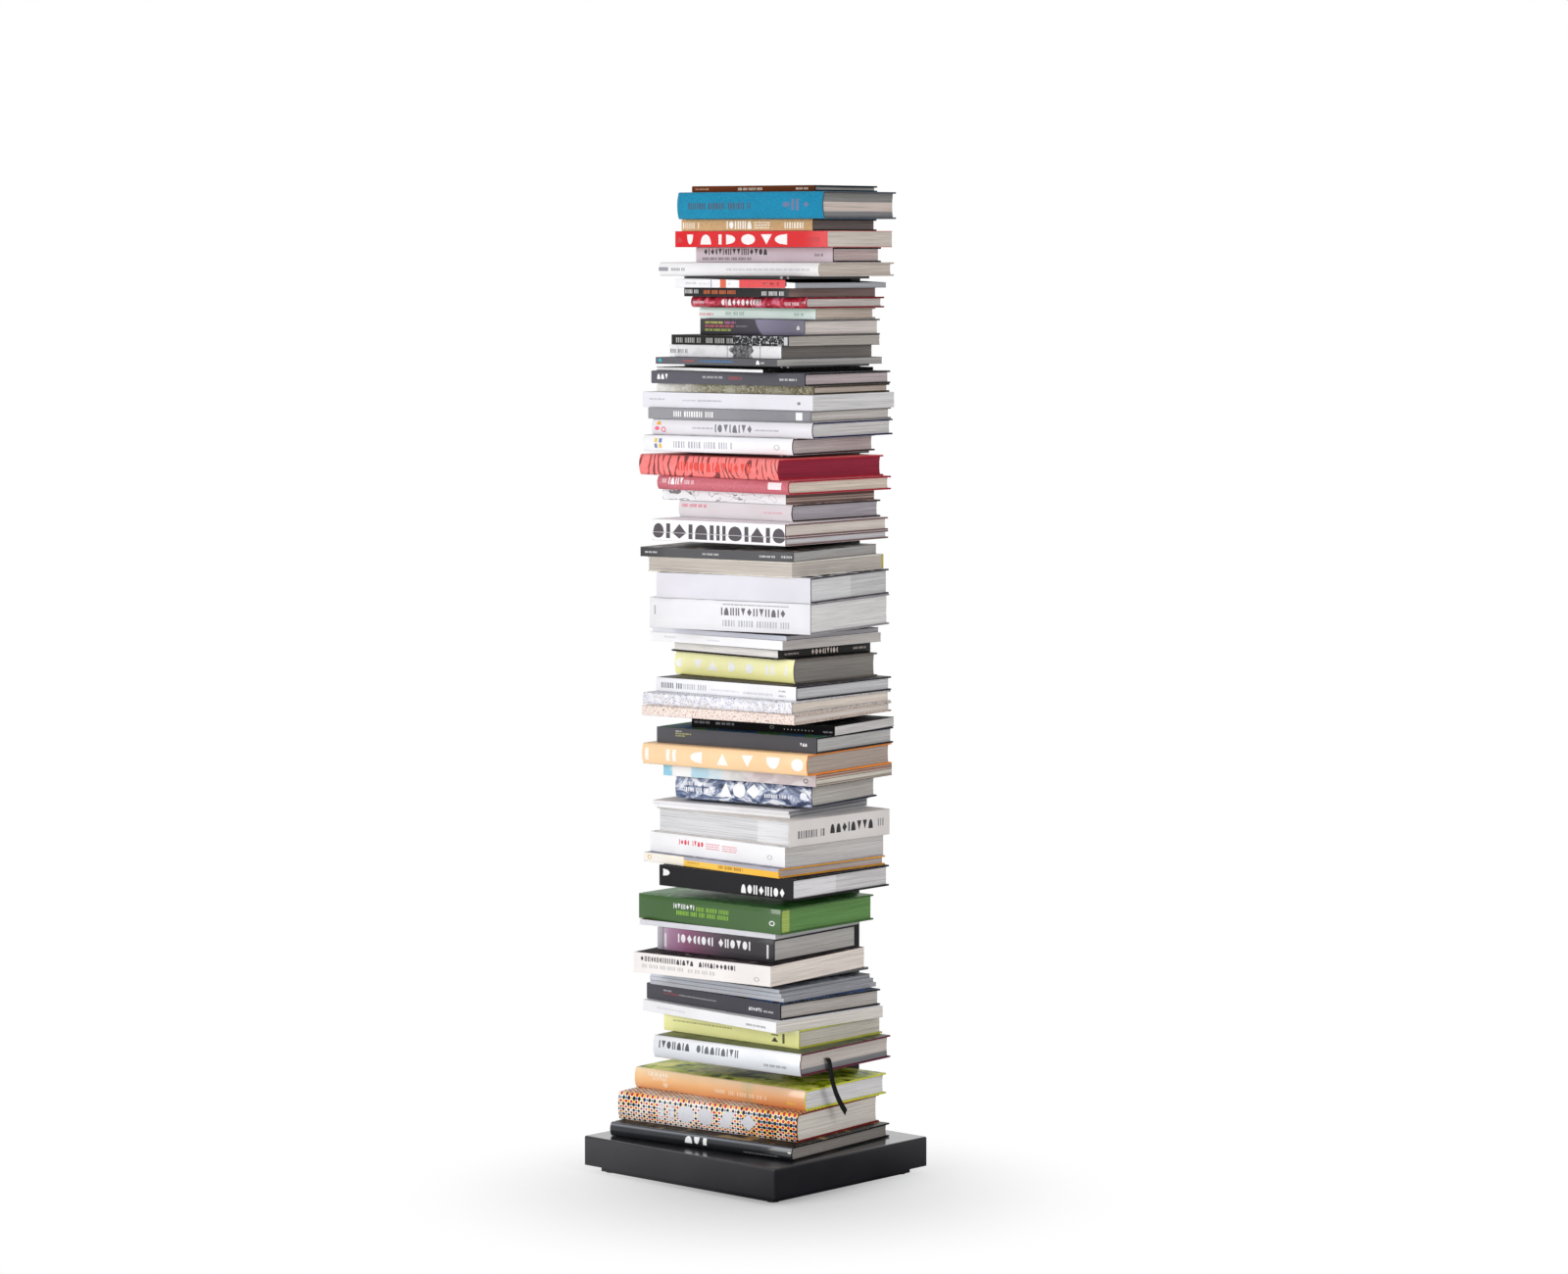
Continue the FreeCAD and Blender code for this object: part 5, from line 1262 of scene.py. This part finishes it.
def coverFinish(name, book, side):
    length, depth, thick = (value * mm for value in spineFirst(book))
    mat, shader, where = startFinish(name, **coverKinds[book["finish"]])
    x, y, z = splitPlace(where)
    along = span(x, -length / 2, length / 2)
    upward = span(z, 0, thick)
    flat = flatPlace(x, minus(z, y))
    turnedRound = side == "flat" and book["binding"] == "backward"
    tone = ramp(along, evenly([book["edge"]] * 2 if turnedRound else book["spine"]))
    if side == "spine":
        # the colours up the spine are painted shade, highlights and a reflection streak on several volumes
        if "fall" in book:
            tone = blendColours(0.55, tone, ramp(upward, evenly(book["fall"])))
        if "pattern" in book:
            tone = printed(book["pattern"], flat, along, upward, tone)
        worn = wornEnds(where, upward, 0.0009 / thick, 0.4)
    else:
        if "top" in book:
            patch = grain(where, 22, 3, 0.55, 0.8)
            first, second, third = (paint(rgb) for rgb in book["top"])
            tone = blendColours(span(patch, 0.43, 0.53), first, second)
            tone = blendColours(span(patch, 0.55, 0.63, 0, 0.9), tone, third)
        if book.get("pattern") in allOver:
            tone = printed(book["pattern"], flat, along, upward, tone)
        # seen along their length the boards would only mirror the room, so they shine less than the spine
        shader.inputs["Specular IOR Level"].default_value = 0.07
        shader.inputs["Coat Weight"].default_value = 0
        worn = wornEnds(where, along, 0.002 / length, 0.5)
    tone = blendColours(worn, tone, paint((206, 202, 198)))
    cast = ramp(grain(where, 14, 3), [(0.3, (247, 246, 245)), (0.7, (255, 255, 255))])
    tone = tinted(tone, cast)
    if book["finish"] == "cloth":
        threads, slubs = clothWeave(where)
        roughen(shader, plus(threads, slubs), 0.45, 0.0003)
        shade = plus(times(threads, 0.12), slubs)
        tone = tinted(tone, ramp(shade, [(0.3, (214, 214, 214)), (0.7, (255, 255, 255))]))
    elif book["finish"] == "matte":
        roughen(shader, grain(where, 900, 3), 0.2, 0.0002)
    else:
        wavy = plus(grain(where, 18, 2), times(grain(where, 500, 2), 0.03))
        roughen(shader, wavy, 0.12, 0.002)
        smears = times(grain(where, 30, 4), 0.14)
        roughness = plus(smears, coverKinds[book["finish"]]["roughness"] - 0.06)
        wire(roughness, shader.inputs["Roughness"])
    setTone(shader, tone)
    return mat


def boardFinish(name, book):           # turned-in cover and board edges, a little scuffed
    mat, shader, where = startFinish(name, 0.7, Specular_IOR_Level=0.3)
    scuff = span(grain(where, 420, 4, 0.7), 0.6, 0.72, 0, 0.25)
    base = ramp(grain(where, 60, 3), [(0.3, dimmed(book["edge"], 0.9)), (0.7, book["edge"])])
    tone = blendColours(scuff, base, paint(shifted(book["edge"], 32)))
    if book.get("pattern") in sprinkled:
        specks = span(grain(where, 330, 3, 0.7), 0.54, 0.6, 0, 0.85)
        tone = blendColours(specks, tone, paint((66, 52, 50)))
    setTone(shader, tone)
    roughen(shader, grain(where, 1000, 3), 0.3, 0.0002)
    return mat


def pageFinish(name, book, seed):      # cut leaves: hair-fine lines, thicker gatherings, a few tinted sheets, and paler panels that are mostly painted highlight
    depth, thick = (value * mm for value in spineFirst(book)[1:])
    mat, shader, where = startFinish(name, 0.82, Specular_IOR_Level=0.2)
    y, z = splitPlace(where)[1:]
    moved = vector("ADD", where, (seed * 1.7, seed * 2.3, seed * 3.1))[0]
    fine = grain(stretched(moved, 9, 9, 2600), 1, 2, 0.7)
    broad = grain(stretched(moved, 4, 4, 520), 1, 2, 0.6)
    if "bands" in book:
        paper = ramp(span(z, 0, thick), book["bands"])
        tone = tinted(paper, ramp(broad, [(0.3, (228, 228, 228)), (0.6, (255, 255, 255))]))
    else:
        tone = ramp(broad, [(0.3, dimmed(book["paper"], 0.9)), (0.6, book["paper"])])
    soft = 0.004                       # the panels' soft edge, as a share of the depth
    # painted highlight: panels of leaves painted paler where they would catch the light; on the green volume
    # the panel is a paler strip of its own
    for start, stop, rgb in book.get("panels", []):
        back = span(y, -depth, 0)
        inside = span(back, start - soft, start + soft)
        share = times(inside, span(back, stop + soft, stop - soft))
        tone = blendColours(times(share, 0.85), tone, paint(rgb))
    lines = ramp(fine, [(0.34, (188, 185, 182)), (0.48, (248, 247, 246)), (0.66, (255, 255, 255))])
    setTone(shader, tinted(tone, lines, 0.8))
    roughen(shader, plus(fine, times(broad, 0.6)), 0.5, 0.0004)
    return mat


silkPairs = [
    ((236, 232, 224), (170, 40, 48)), ((240, 238, 232), (206, 202, 196)), ((60, 60, 64), (220, 216, 206)),
]


def threadFinish(name, seed):          # headband: two silks wound in turn
    mat, shader, where = startFinish(name, 0.55, Sheen_Weight=0.3)
    windings = calc("FRACT", times(splitPlace(where)[2], 620))
    first, second = silkPairs[seed % len(silkPairs)]
    setTone(shader, ramp(windings, [(0, first), (0.5, second)], "CONSTANT"))
    roughen(shader, windings, 0.5, 0.0003)
    return mat


inks = {}


def inkFinish(rgb):                    # printed or stamped marks, slightly uneven
    if rgb not in inks:
        mat, shader, where = startFinish("ink_%d_%d_%d" % rgb, 0.42)
        setTone(shader, ramp(grain(where, 700, 3), [(0.3, dimmed(rgb, 0.93)), (0.6, rgb)]))
        roughen(shader, grain(where, 1200, 2), 0.15, 0.0001)
        inks[rgb] = mat
    return inks[rgb]


# how a book is put together, in millimetres: hard boards with squares and a joint groove, or a soft cover
bound = {
    "board": 2.7, "thinBoard": 1.8, "spineWall": 2.8, "cover": 0.75,
    "square": 3.5, "thinSquare": 1.2, "trim": 0.4, "rounding": 0.3, "softRounding": 0.12,
    "bulge": 4.0, "hollow": 2.2, "roundSteps": 14, "flatSteps": 4,
    # the joint's points: how far behind the spine, and the share of the groove's depth there
    "groove": 0.9, "softGroove": 0.12, "joint": [(11, 0), (8.8, 0.35), (7.2, 1), (5.6, 0.35)],
    "leafStep": 0.9, "leafWander": 0.16, "softWander": 0.22, "fewestLeaves": 5,
    "band": 0.8, "bandOut": 0.5, "bandBack": 0.9, "bandLeast": 12, "inkLift": 0.07,
}
hardKinds = ("round", "flat", "turned", "backward")
bandKinds = ("round", "flat", "turned")                # with headbands, if they are thick enough


def spineFirst(book):                  # length along the spine, reach from spine to fore edge, thickness
    length, depth, thick = book["size"]
    return (depth, length, thick) if book["binding"].startswith("turned") else (length, depth, thick)


def spineLine(book, z):                # how far forward the spine stands at that height
    reach, thick = spineFirst(book)[1:]
    if book["binding"] != "round":
        return -reach
    bulge = bound["bulge"]
    radius = (thick * thick / 4 + bulge * bulge) / (2 * bulge)
    return -reach + radius - math.sqrt(max(radius * radius - (z - thick / 2) ** 2, 0))


def caseWalls(book):                   # thickness of boards and spine, and how far the leaves stand back
    if book["binding"] not in hardKinds:
        return bound["cover"], bound["cover"], bound["trim"]
    back = book.get("wall", bound["spineWall"])
    if book["binding"] == "backward":
        return bound["thinBoard"], back, bound["thinSquare"]
    return bound["board"], back, bound["square"]


def caseProfile(book):                 # from the top fore edge over the spine to the bottom one
    reach, thick = spineFirst(book)[1:]
    wall, back = caseWalls(book)[:2]
    front = -reach + (bound["bulge"] if book["binding"] == "round" else 0)
    dip = bound["groove"] if book["binding"] in hardKinds else bound["softGroove"]
    # the upper half: outer y and z, inner y and z, and the face that starts there
    half = [
        (0, thick - 0.3 * wall, 0, thick - 0.75 * wall, "board"),
        (-0.1 * wall, thick - 0.08 * wall, -0.1 * wall, thick - 0.95 * wall, "board"),
        (-0.35 * wall, thick, -0.35 * wall, thick - wall, "flat"),
    ]
    for behind, share in bound["joint"]:
        half.append((front + behind, thick - share * dip, front + behind, thick - wall, "flat"))
    half += [
        (front + 4.0, thick, front + 4.6, thick - wall, "flat"),
        (front + 1.3, thick - 0.05 * wall, front + 3.2, thick - wall, "spine"),
        (front + 0.35, thick - 0.2 * wall, front + 1.2 + back, thick - 1.02 * wall, "spine"),
    ]
    steps = bound["roundSteps" if book["binding"] == "round" else "flatSteps"]
    low, high = 0.45 * wall, thick - 0.45 * wall
    middle = []
    for k in range(steps + 1):
        z = high + (low - high) * k / steps
        inner = min(max(z, wall * 1.05), thick - wall * 1.05)
        middle.append((spineLine(book, z), z, spineLine(book, z) + back, inner, "spine"))
    # a strip takes the name of its first point, so the lower half reads the name from the next one
    mirrored = half[::-1]
    lower = []
    for (oy, oz, iy, iz, face), ahead in zip(mirrored, mirrored[1:] + mirrored[-1:]):
        lower.append((oy, thick - oz, iy, thick - iz, ahead[4]))
    return half + middle + lower


def sagged(book, x, z):                # the loose upper leaves of a limp magazine settle towards one end
    length, depth, thick = book["size"]
    over = max(0.0, x + length / 6) / (length * 2 / 3)
    return z - book.get("sag", 0) * over * math.sqrt(over) * z / thick


def meshFrom(build, name, finishes, smooth):           # shaded smooth below that angle, in degrees
    build.normal_update()
    for edge in build.edges:
        if len(edge.link_faces) == 2:
            edge.smooth = edge.calc_face_angle(0) < math.radians(smooth)
    for face in build.faces:
        face.smooth = True
    for vert in build.verts:
        vert.co *= mm
    mesh = bpy.data.meshes.new(name)
    build.to_mesh(mesh)
    build.free()
    for finish in finishes:
        mesh.materials.append(finish)
    piece = bpy.data.objects.new(name, mesh)
    bpy.context.collection.objects.link(piece)
    return piece


def caseStations(book):                # places along the spine, each with how far the rim is rounded in there
    length = spineFirst(book)[0]
    inset = bound["rounding"] if book["binding"] in hardKinds else bound["softRounding"]
    corner = [(-length / 2, inset), (-length / 2 + 0.3 * inset, 0.3 * inset), (-length / 2 + inset, 0)]
    middle = [(-length / 2 + length * k / 6, 0) for k in range(1, 6)]
    if "sag" in book:                  # more places where the cover bends
        middle += [(length * k / 12, 0) for k in (-1, 1, 3, 5)]
    return corner + sorted(middle) + [(-x, pull) for x, pull in reversed(corner)]


def makeCase(name, book):
    profile = caseProfile(book)
    build = bmesh.new()
    outer, inner = [], []
    for x, pull in caseStations(book):
        ringOut, ringIn = [], []
        for oy, oz, iy, iz, face in profile:
            gap = max(math.hypot(iy - oy, iz - oz), 0.01)
            k = min(pull / gap, 0.3)
            ringOut.append(build.verts.new((x, oy + (iy - oy) * k, sagged(book, x, oz + (iz - oz) * k))))
            ringIn.append(build.verts.new((x, iy, sagged(book, x, iz))))
        outer.append(ringOut)
        inner.append(ringIn)
    slots = {"spine": 0, "flat": 1, "board": 2}
    last = len(profile) - 1
    for a in range(len(outer) - 1):
        for i in range(last):
            face = build.faces.new((outer[a][i], outer[a][i + 1], outer[a + 1][i + 1], outer[a + 1][i]))
            face.material_index = slots[profile[i][4]]
            face = build.faces.new((inner[a][i], inner[a + 1][i], inner[a + 1][i + 1], inner[a][i + 1]))
            face.material_index = slots["board"]
        for i in (0, last):            # the fore edges of the two boards
            ring = (outer[a][i], outer[a + 1][i], inner[a + 1][i], inner[a][i])
            face = build.faces.new(ring if i == 0 else ring[::-1])
            face.material_index = slots["board"]
    for a, turned in ((0, True), (len(outer) - 1, False)):
        for i in range(last):          # the ends of the boards and the spine
            ring = (outer[a][i], outer[a][i + 1], inner[a][i + 1], inner[a][i])
            face = build.faces.new(ring[::-1] if turned else ring)
            thickSpine = "wall" in book and profile[i][4] == "spine"
            face.material_index = slots["spine" if thickSpine else "board"]
    finishes = [coverFinish(name + "Spine", book, "spine"), coverFinish(name + "Sides", book, "flat")]
    return meshFrom(build, name + ".case", finishes + [boardFinish(name + "Board", book)], 35)


def makePages(name, book, seed):
    rand = random.Random(seed)
    length, reach, thick = spineFirst(book)
    wall, back, square = caseWalls(book)
    hollow = bound["hollow"] if book["binding"] == "round" else 0.0
    wander = bound["leafWander"] if book["binding"] in hardKinds else bound["softWander"]
    shares = [-1, -0.98, -0.5, 0, 0.5, 0.98, 1]        # places along half the length, either way
    if "sag" in book:
        shares = sorted(shares + [-0.25, 0.25, 0.75])
    low, high = wall, thick - wall
    count = max(bound["fewestLeaves"], int((high - low) / bound["leafStep"]))
    build = bmesh.new()
    rings = []
    for k in range(count + 1):
        loose = 0 < k < count          # the outermost leaves lie even with the boards
        z = low + (high - low) * k / count
        half = length / 2 - square + rand.uniform(-wander, wander) * loose
        lift = (z - thick / 2) / (thick / 2)
        foreEdge = -square - hollow * (1 - lift * lift) + rand.uniform(-wander, wander) * loose
        spineEdge = spineLine(book, z) + back
        points = [(x * half, spineEdge) for x in shares] + [(x * half, foreEdge) for x in reversed(shares)]
        rings.append([build.verts.new((x, y, sagged(book, x, z))) for x, y in points])
    joinRings(build, rings)
    size = len(rings[0])
    for ring, flip in ((rings[0], True), (rings[-1], False)):
        for i in range(size // 2 - 1):
            quad = (ring[i], ring[i + 1], ring[size - 2 - i], ring[size - 1 - i])
            build.faces.new(quad[::-1] if flip else quad)
    return meshFrom(build, name + ".pages", [pageFinish(name + "Leaves", book, seed)], 12)


def makeHeadbands(name, book, seed):   # a thin round band at each end of the leaves, behind the spine
    length, reach, thick = spineFirst(book)
    radius, steps, corners = bound["band"], 8, 8
    build = bmesh.new()
    for side in (-1, 1):
        x = side * (length / 2 - bound["square"] + bound["bandOut"])
        rings = []
        for k in range(steps + 1):
            z = bound["board"] + (thick - 2 * bound["board"]) * k / steps
            y = spineLine(book, z) + bound["spineWall"] + bound["bandBack"]
            ring = []
            for c in range(corners):
                angle = c * math.tau / corners
                ring.append(build.verts.new((x + radius * math.cos(angle), y + radius * math.sin(angle), z)))
            rings.append(ring)
        joinRings(build, rings)
    return meshFrom(build, name + ".headbands", [threadFinish(name + "Silk", seed)], 60)


# plain figures for the printed marks: the parts of its box that each fills at a height from 0 to 1
def roundHalf(t):                      # half the width of a disc
    return math.sqrt(max(0.0, 1 - (2 * t - 1) ** 2)) / 2


def domeHalf(t):                       # half the width of a half disc, up from its flat side
    return math.sqrt(max(0, 1 - t ** 2)) / 2


figures = {
    "block": lambda t: [(0, 1)],
    "disc": lambda t: [(0.5 - roundHalf(t), 0.5 + roundHalf(t))],
    "halfUp": lambda t: [(0.5 - domeHalf(t), 0.5 + domeHalf(t))],
    "halfDown": lambda t: [(0.5 - domeHalf(1 - t), 0.5 + domeHalf(1 - t))],
    "halfLeft": lambda t: [(0, 2 * roundHalf(t))],
    "halfRight": lambda t: [(1 - 2 * roundHalf(t), 1)],
    "wedgeUp": lambda t: [(t / 2, 1 - t / 2)],
    "wedgeDown": lambda t: [((1 - t) / 2, (1 + t) / 2)],
    "diamond": lambda t: [(abs(t - 0.5), 1 - abs(t - 0.5))],
    "slant": lambda t: [(0.35 * t, 0.65 + 0.35 * t)],
    "bars": lambda t: [(0, 0.36), (0.64, 1)],
}
straight = ("block", "bars")
# rows that stand for lettering; sizes are shares of the row's height, but fine print runs in millimetres
tickRow = {
    "widths": (0.15, 0.2, 0.27), "height": 0.85, "gap": 0.2, "wideGap": 0.6, "group": (4, 8), "least": 0.1,
}
ornamentRow = {
    "figures": [
        ("block", 0.2), ("disc", 0.66), ("halfUp", 0.7), ("block", 0.2),
        ("diamond", 0.7), ("halfRight", 0.36), ("bars", 0.55), ("wedgeDown", 0.66),
    ],
    "gap": 0.24, "least": 0.3,
}
finePrint = {"rows": 3, "pitch": 0.36, "height": 0.18, "widths": (2, 7), "gap": 1.1, "least": 0.3}
dotRow = {"count": 9, "half": 0.35}


def addFigure(build, book, kind, box, ink):            # box is left, right, low and high on the spine
    left, right, low, high = box
    steps = 10                         # straight figures need steps only to follow a round spine
    if kind in straight:
        steps = 4 if book["binding"] == "round" else 1
    lift, point = bound["inkLift"], 1e-4
    for k in range(steps):
        t0, t1 = k / steps, (k + 1) / steps
        z0, z1 = low + (high - low) * t0, low + (high - low) * t1
        for (a0, a1), (b0, b1) in zip(figures[kind](t0), figures[kind](t1)):
            corners = []
            for share, z in ((a0, z0), (a1, z0), (b1, z1), (b0, z1)):
                corners.append((left + (right - left) * share, spineLine(book, z) - lift, z))
            if a1 - a0 < point:
                corners = [corners[0], corners[2], corners[3]]
            if b1 - b0 < point:
                corners = corners[:-1]
            if len(corners) > 2:
                build.faces.new([build.verts.new(c) for c in corners]).material_index = ink


def addRing(build, book, box, ink, rand):
    left, right, low, high = box
    corners, hole = 20, 0.62
    loops = []
    for scale in (1.0, hole):
        loop = []
        for k in range(corners):
            angle = k * math.tau / corners
            x = (left + right) / 2 + (right - left) / 2 * scale * math.cos(angle)
            z = (low + high) / 2 + (high - low) / 2 * scale * math.sin(angle)
            loop.append(build.verts.new((x, spineLine(book, z) - bound["inkLift"], z)))
        loops.append(loop)
    for face in joinRings(build, loops):
        face.material_index = ink


def addWords(build, book, box, ink, rand):             # short upright ticks of one height in loose groups
    left, right, low, high = box
    size = high - low
    x, ticks = left, rand.randint(*tickRow["group"])
    while x < right - tickRow["least"] * size:
        wide = min(rand.choice(tickRow["widths"]) * size, right - x)
        addFigure(build, book, "block", (x, x + wide, low, low + tickRow["height"] * size), ink)
        ticks -= 1
        x += wide + tickRow["gap" if ticks else "wideGap"] * size
        ticks = ticks or rand.randint(*tickRow["group"])


def addBlocks(build, book, box, ink, rand):            # a band of plain ornaments
    left, right, low, high = box
    size = high - low
    x = left
    while x < right - ornamentRow["least"] * size:
        shape, wide = rand.choice(ornamentRow["figures"])
        addFigure(build, book, shape, (x, min(x + wide * size, right), low, high), ink)
        x += (wide + ornamentRow["gap"]) * size


def addLines(build, book, box, ink, rand):             # three rows of fine print
    left, right, low, high = box
    size = high - low
    for row in range(finePrint["rows"]):
        foot = low + size * (row * finePrint["pitch"])
        head = low + size * (row * finePrint["pitch"] + finePrint["height"])
        x = left
        while x < right - finePrint["least"]:
            wide = min(rand.uniform(*finePrint["widths"]), right - x)
            addFigure(build, book, "block", (x, x + wide, foot, head), ink)
            x += wide + finePrint["gap"]


def addDots(build, book, box, ink, rand):              # a row of discs
    left, right, low, high = box
    half = (high - low) * dotRow["half"]
    for k in range(dotRow["count"]):
        x = left + (right - left) * (k + 0.5) / dotRow["count"]
        addFigure(build, book, "disc", (x - half, x + half, low, high), ink)


rows = {"words": addWords, "blocks": addBlocks, "lines": addLines, "dots": addDots, "ring": addRing}


def makeMarks(name, book, seed):       # plain figures, bars and rows of ticks in place of a title
    rand = random.Random(seed * 7 + 3)
    length, reach, thick = spineFirst(book)
    build = bmesh.new()
    colours = []
    for kind, start, stop, middle, tall, *own in book["marks"]:
        rgb = own[0] if own else book["ink"]
        if rgb not in colours:
            colours.append(rgb)
        ink = colours.index(rgb)
        # a block of nearly the whole height may reach the spine's edges
        edge = 0.5 * bound["cover"] if kind == "block" and tall > 0.9 else 0.6
        low = max(edge, (middle - tall / 2) * thick)
        high = min(thick - edge, (middle + tall / 2) * thick)
        box = (-length / 2 + start * length, -length / 2 + stop * length, low, high)
        if kind in rows:
            rows[kind](build, book, box, ink, rand)
        else:
            addFigure(build, book, kind, box, ink)
    return meshFrom(build, name + ".marks", [inkFinish(rgb) for rgb in colours], 60)


# how the stacks stand against the column, in millimetres
standing = {"bookFace": 142.5, "columnHalf": 75}


def stackBottom(bay):
    return min(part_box(book["node"])[0].z for book in bay.values())


def bookPlace(book, bottom):           # turned on the shelf and pushed back until a corner meets the column
    turn = math.radians(book["turn"])
    lean = math.tan(abs(turn)) * standing["columnHalf"]
    y = standing["bookFace"] - book["pull"] - lean + math.tan(turn) * book["shift"]
    place = Matrix.Translation((book["shift"] * mm, y * mm, bottom)) @ Matrix.Rotation(turn, 4, "Z")
    length, depth, thick = (value * mm for value in book["size"])
    if book["binding"].startswith("turned"):
        place @= Matrix.Translation((-length / 2, -depth / 2, 0)) @ Matrix.Rotation(math.pi / 2, 4, "Z")
    elif book["binding"] == "backward":
        place @= Matrix.Translation((0, -depth, 0)) @ Matrix.Rotation(math.pi, 4, "Z")
    return place


count = 0
for number, bay in enumerate(bays):
    body = "bay_%02d_books" % number
    bottom = stackBottom(bay)
    for name, book in bay.items():
        count += 1
        pieces = [makeCase(name, book), makePages(name, book, count)]
        if book["binding"] in bandKinds and book["size"][2] > bound["bandLeast"]:
            pieces.append(makeHeadbands(name, book, count))
        if "marks" in book:
            pieces.append(makeMarks(name, book, count))
        for piece in pieces:
            piece.matrix_world = bookPlace(book, bottom)
            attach(piece, body)
        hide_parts(book["node"])
        bottom += book["size"][2] * mm
    print("stack", number, "made")

# the ribbon marker of the silver book hangs out of the page ends; back and high are where it comes out, as
# shares of the book's depth and thickness, and each point of its path is a share of out, swing and drop
ribbon = {
    "width": 10, "thickness": 0.4, "back": 0.70, "high": 0.57, "out": 7.8, "swing": 42, "drop": 93,
    "path": [
        (0, 0, 0), (0.62, 0, 0.01), (0.9, 0.01, 0.06), (1, 0.03, 0.13), (1, 0.08, 0.24), (0.97, 0.17, 0.38),
        (0.95, 0.3, 0.52), (0.96, 0.46, 0.66), (1, 0.64, 0.79), (1.06, 0.82, 0.9), (1.15, 1, 1),
    ],
    # across it is cupped a little, flat at first, and its end is cut on the slant
    "across": (-1, -0.5, 0, 0.5, 1), "cup": 0.35, "cupFrom": 12, "flatTo": 3, "slant": 1.6,
    "stepsBetween": 5, "tone": (8, 8, 9),
}


def satinFinish(name, tone):
    sockets = {"Sheen_Weight": 0.02, "Sheen_Roughness": 0.4, "Specular_IOR_Level": 0.2}
    mat, shader, where = startFinish(name, 0.5, **sockets)
    y, z = splitPlace(where)[1:]
    threads = calc("SINE", times(minus(z, y), 16000))
    uneven = plus(times(threads, 0.25), grain(where, 120, 3))
    setTone(shader, ramp(uneven, [(0.2, dimmed(tone, 0.6)), (0.8, shifted(tone, 8))]))
    roughen(shader, threads, 0.3, 0.0002)
    return mat


def smoothPoint(a, b, c, d, t):        # between b and c, on a smooth line through all four
    bend = 2 * a - 5 * b + 4 * c - d
    twist = 3 * b - a - 3 * c + d
    return 0.5 * ((2 * b) + (c - a) * t + bend * t * t + twist * t * t * t)


def ribbonLine(settings, book):
    length, depth, thick = book["size"]
    start = Vector((length / 2 - bound["square"], -settings["back"] * depth, settings["high"] * thick))
    reach = Vector((settings["out"], settings["swing"], -settings["drop"]))
    points = [start + Vector(share) * reach for share in settings["path"]]
    steps = settings["stepsBetween"]
    line = []
    for k in range(len(points) - 1):
        a, b, c, d = points[max(k - 1, 0)], points[k], points[k + 1], points[min(k + 2, len(points) - 1)]
        line += [smoothPoint(a, b, c, d, s / steps) for s in range(steps)]
    return line + [points[-1]]


def makeRibbon(settings, book):
    build = bmesh.new()
    line = ribbonLine(settings, book)
    wide, thin = settings["width"] / 2, settings["thickness"] / 2
    sections = []
    for k, point in enumerate(line):
        ahead = (line[min(k + 1, len(line) - 1)] - line[max(k - 1, 0)]).normalized()
        out = Vector((0, 0, 1)) if k < settings["flatTo"] else Vector((1, 0, 0))
        across = ahead.cross(out).normalized()
        out = across.cross(ahead).normalized()
        under, over = [], []
        for side in settings["across"]:
            cup = settings["cup"] * (side * side - 0.5) * min(1, k / settings["cupFrom"])
            slope = settings["slant"] * side if k == len(line) - 1 else 0
            under.append(build.verts.new(point + across * wide * side + out * (cup - thin) + ahead * slope))
            over.append(build.verts.new(point + across * wide * side + out * (cup + thin) + ahead * slope))
        sections.append((under, over))
    last = len(settings["across"]) - 1
    for (lowA, highA), (lowB, highB) in zip(sections, sections[1:]):
        for i in range(last):
            build.faces.new((lowA[i], lowB[i], lowB[i + 1], lowA[i + 1]))
            build.faces.new((highA[i], highA[i + 1], highB[i + 1], highB[i]))
        build.faces.new((lowA[0], highA[0], highB[0], lowB[0]))
        build.faces.new((lowA[last], lowB[last], highB[last], highA[last]))
    for low, high in (sections[0], sections[-1]):
        for i in range(last):
            build.faces.new((low[i], low[i + 1], high[i + 1], high[i]))
    bmesh.ops.recalc_face_normals(build, faces=build.faces)
    return meshFrom(build, "ribbonMarker", [satinFinish("ribbonSatin", settings["tone"])], 60)


silver = bays[1]["silver"]
strip = makeRibbon(ribbon, silver)
strip.matrix_world = bookPlace(silver, stackBottom(bays[1]))
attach(strip, "bay_01_books")
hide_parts("ribbon_marker")
print("ribbon hung")
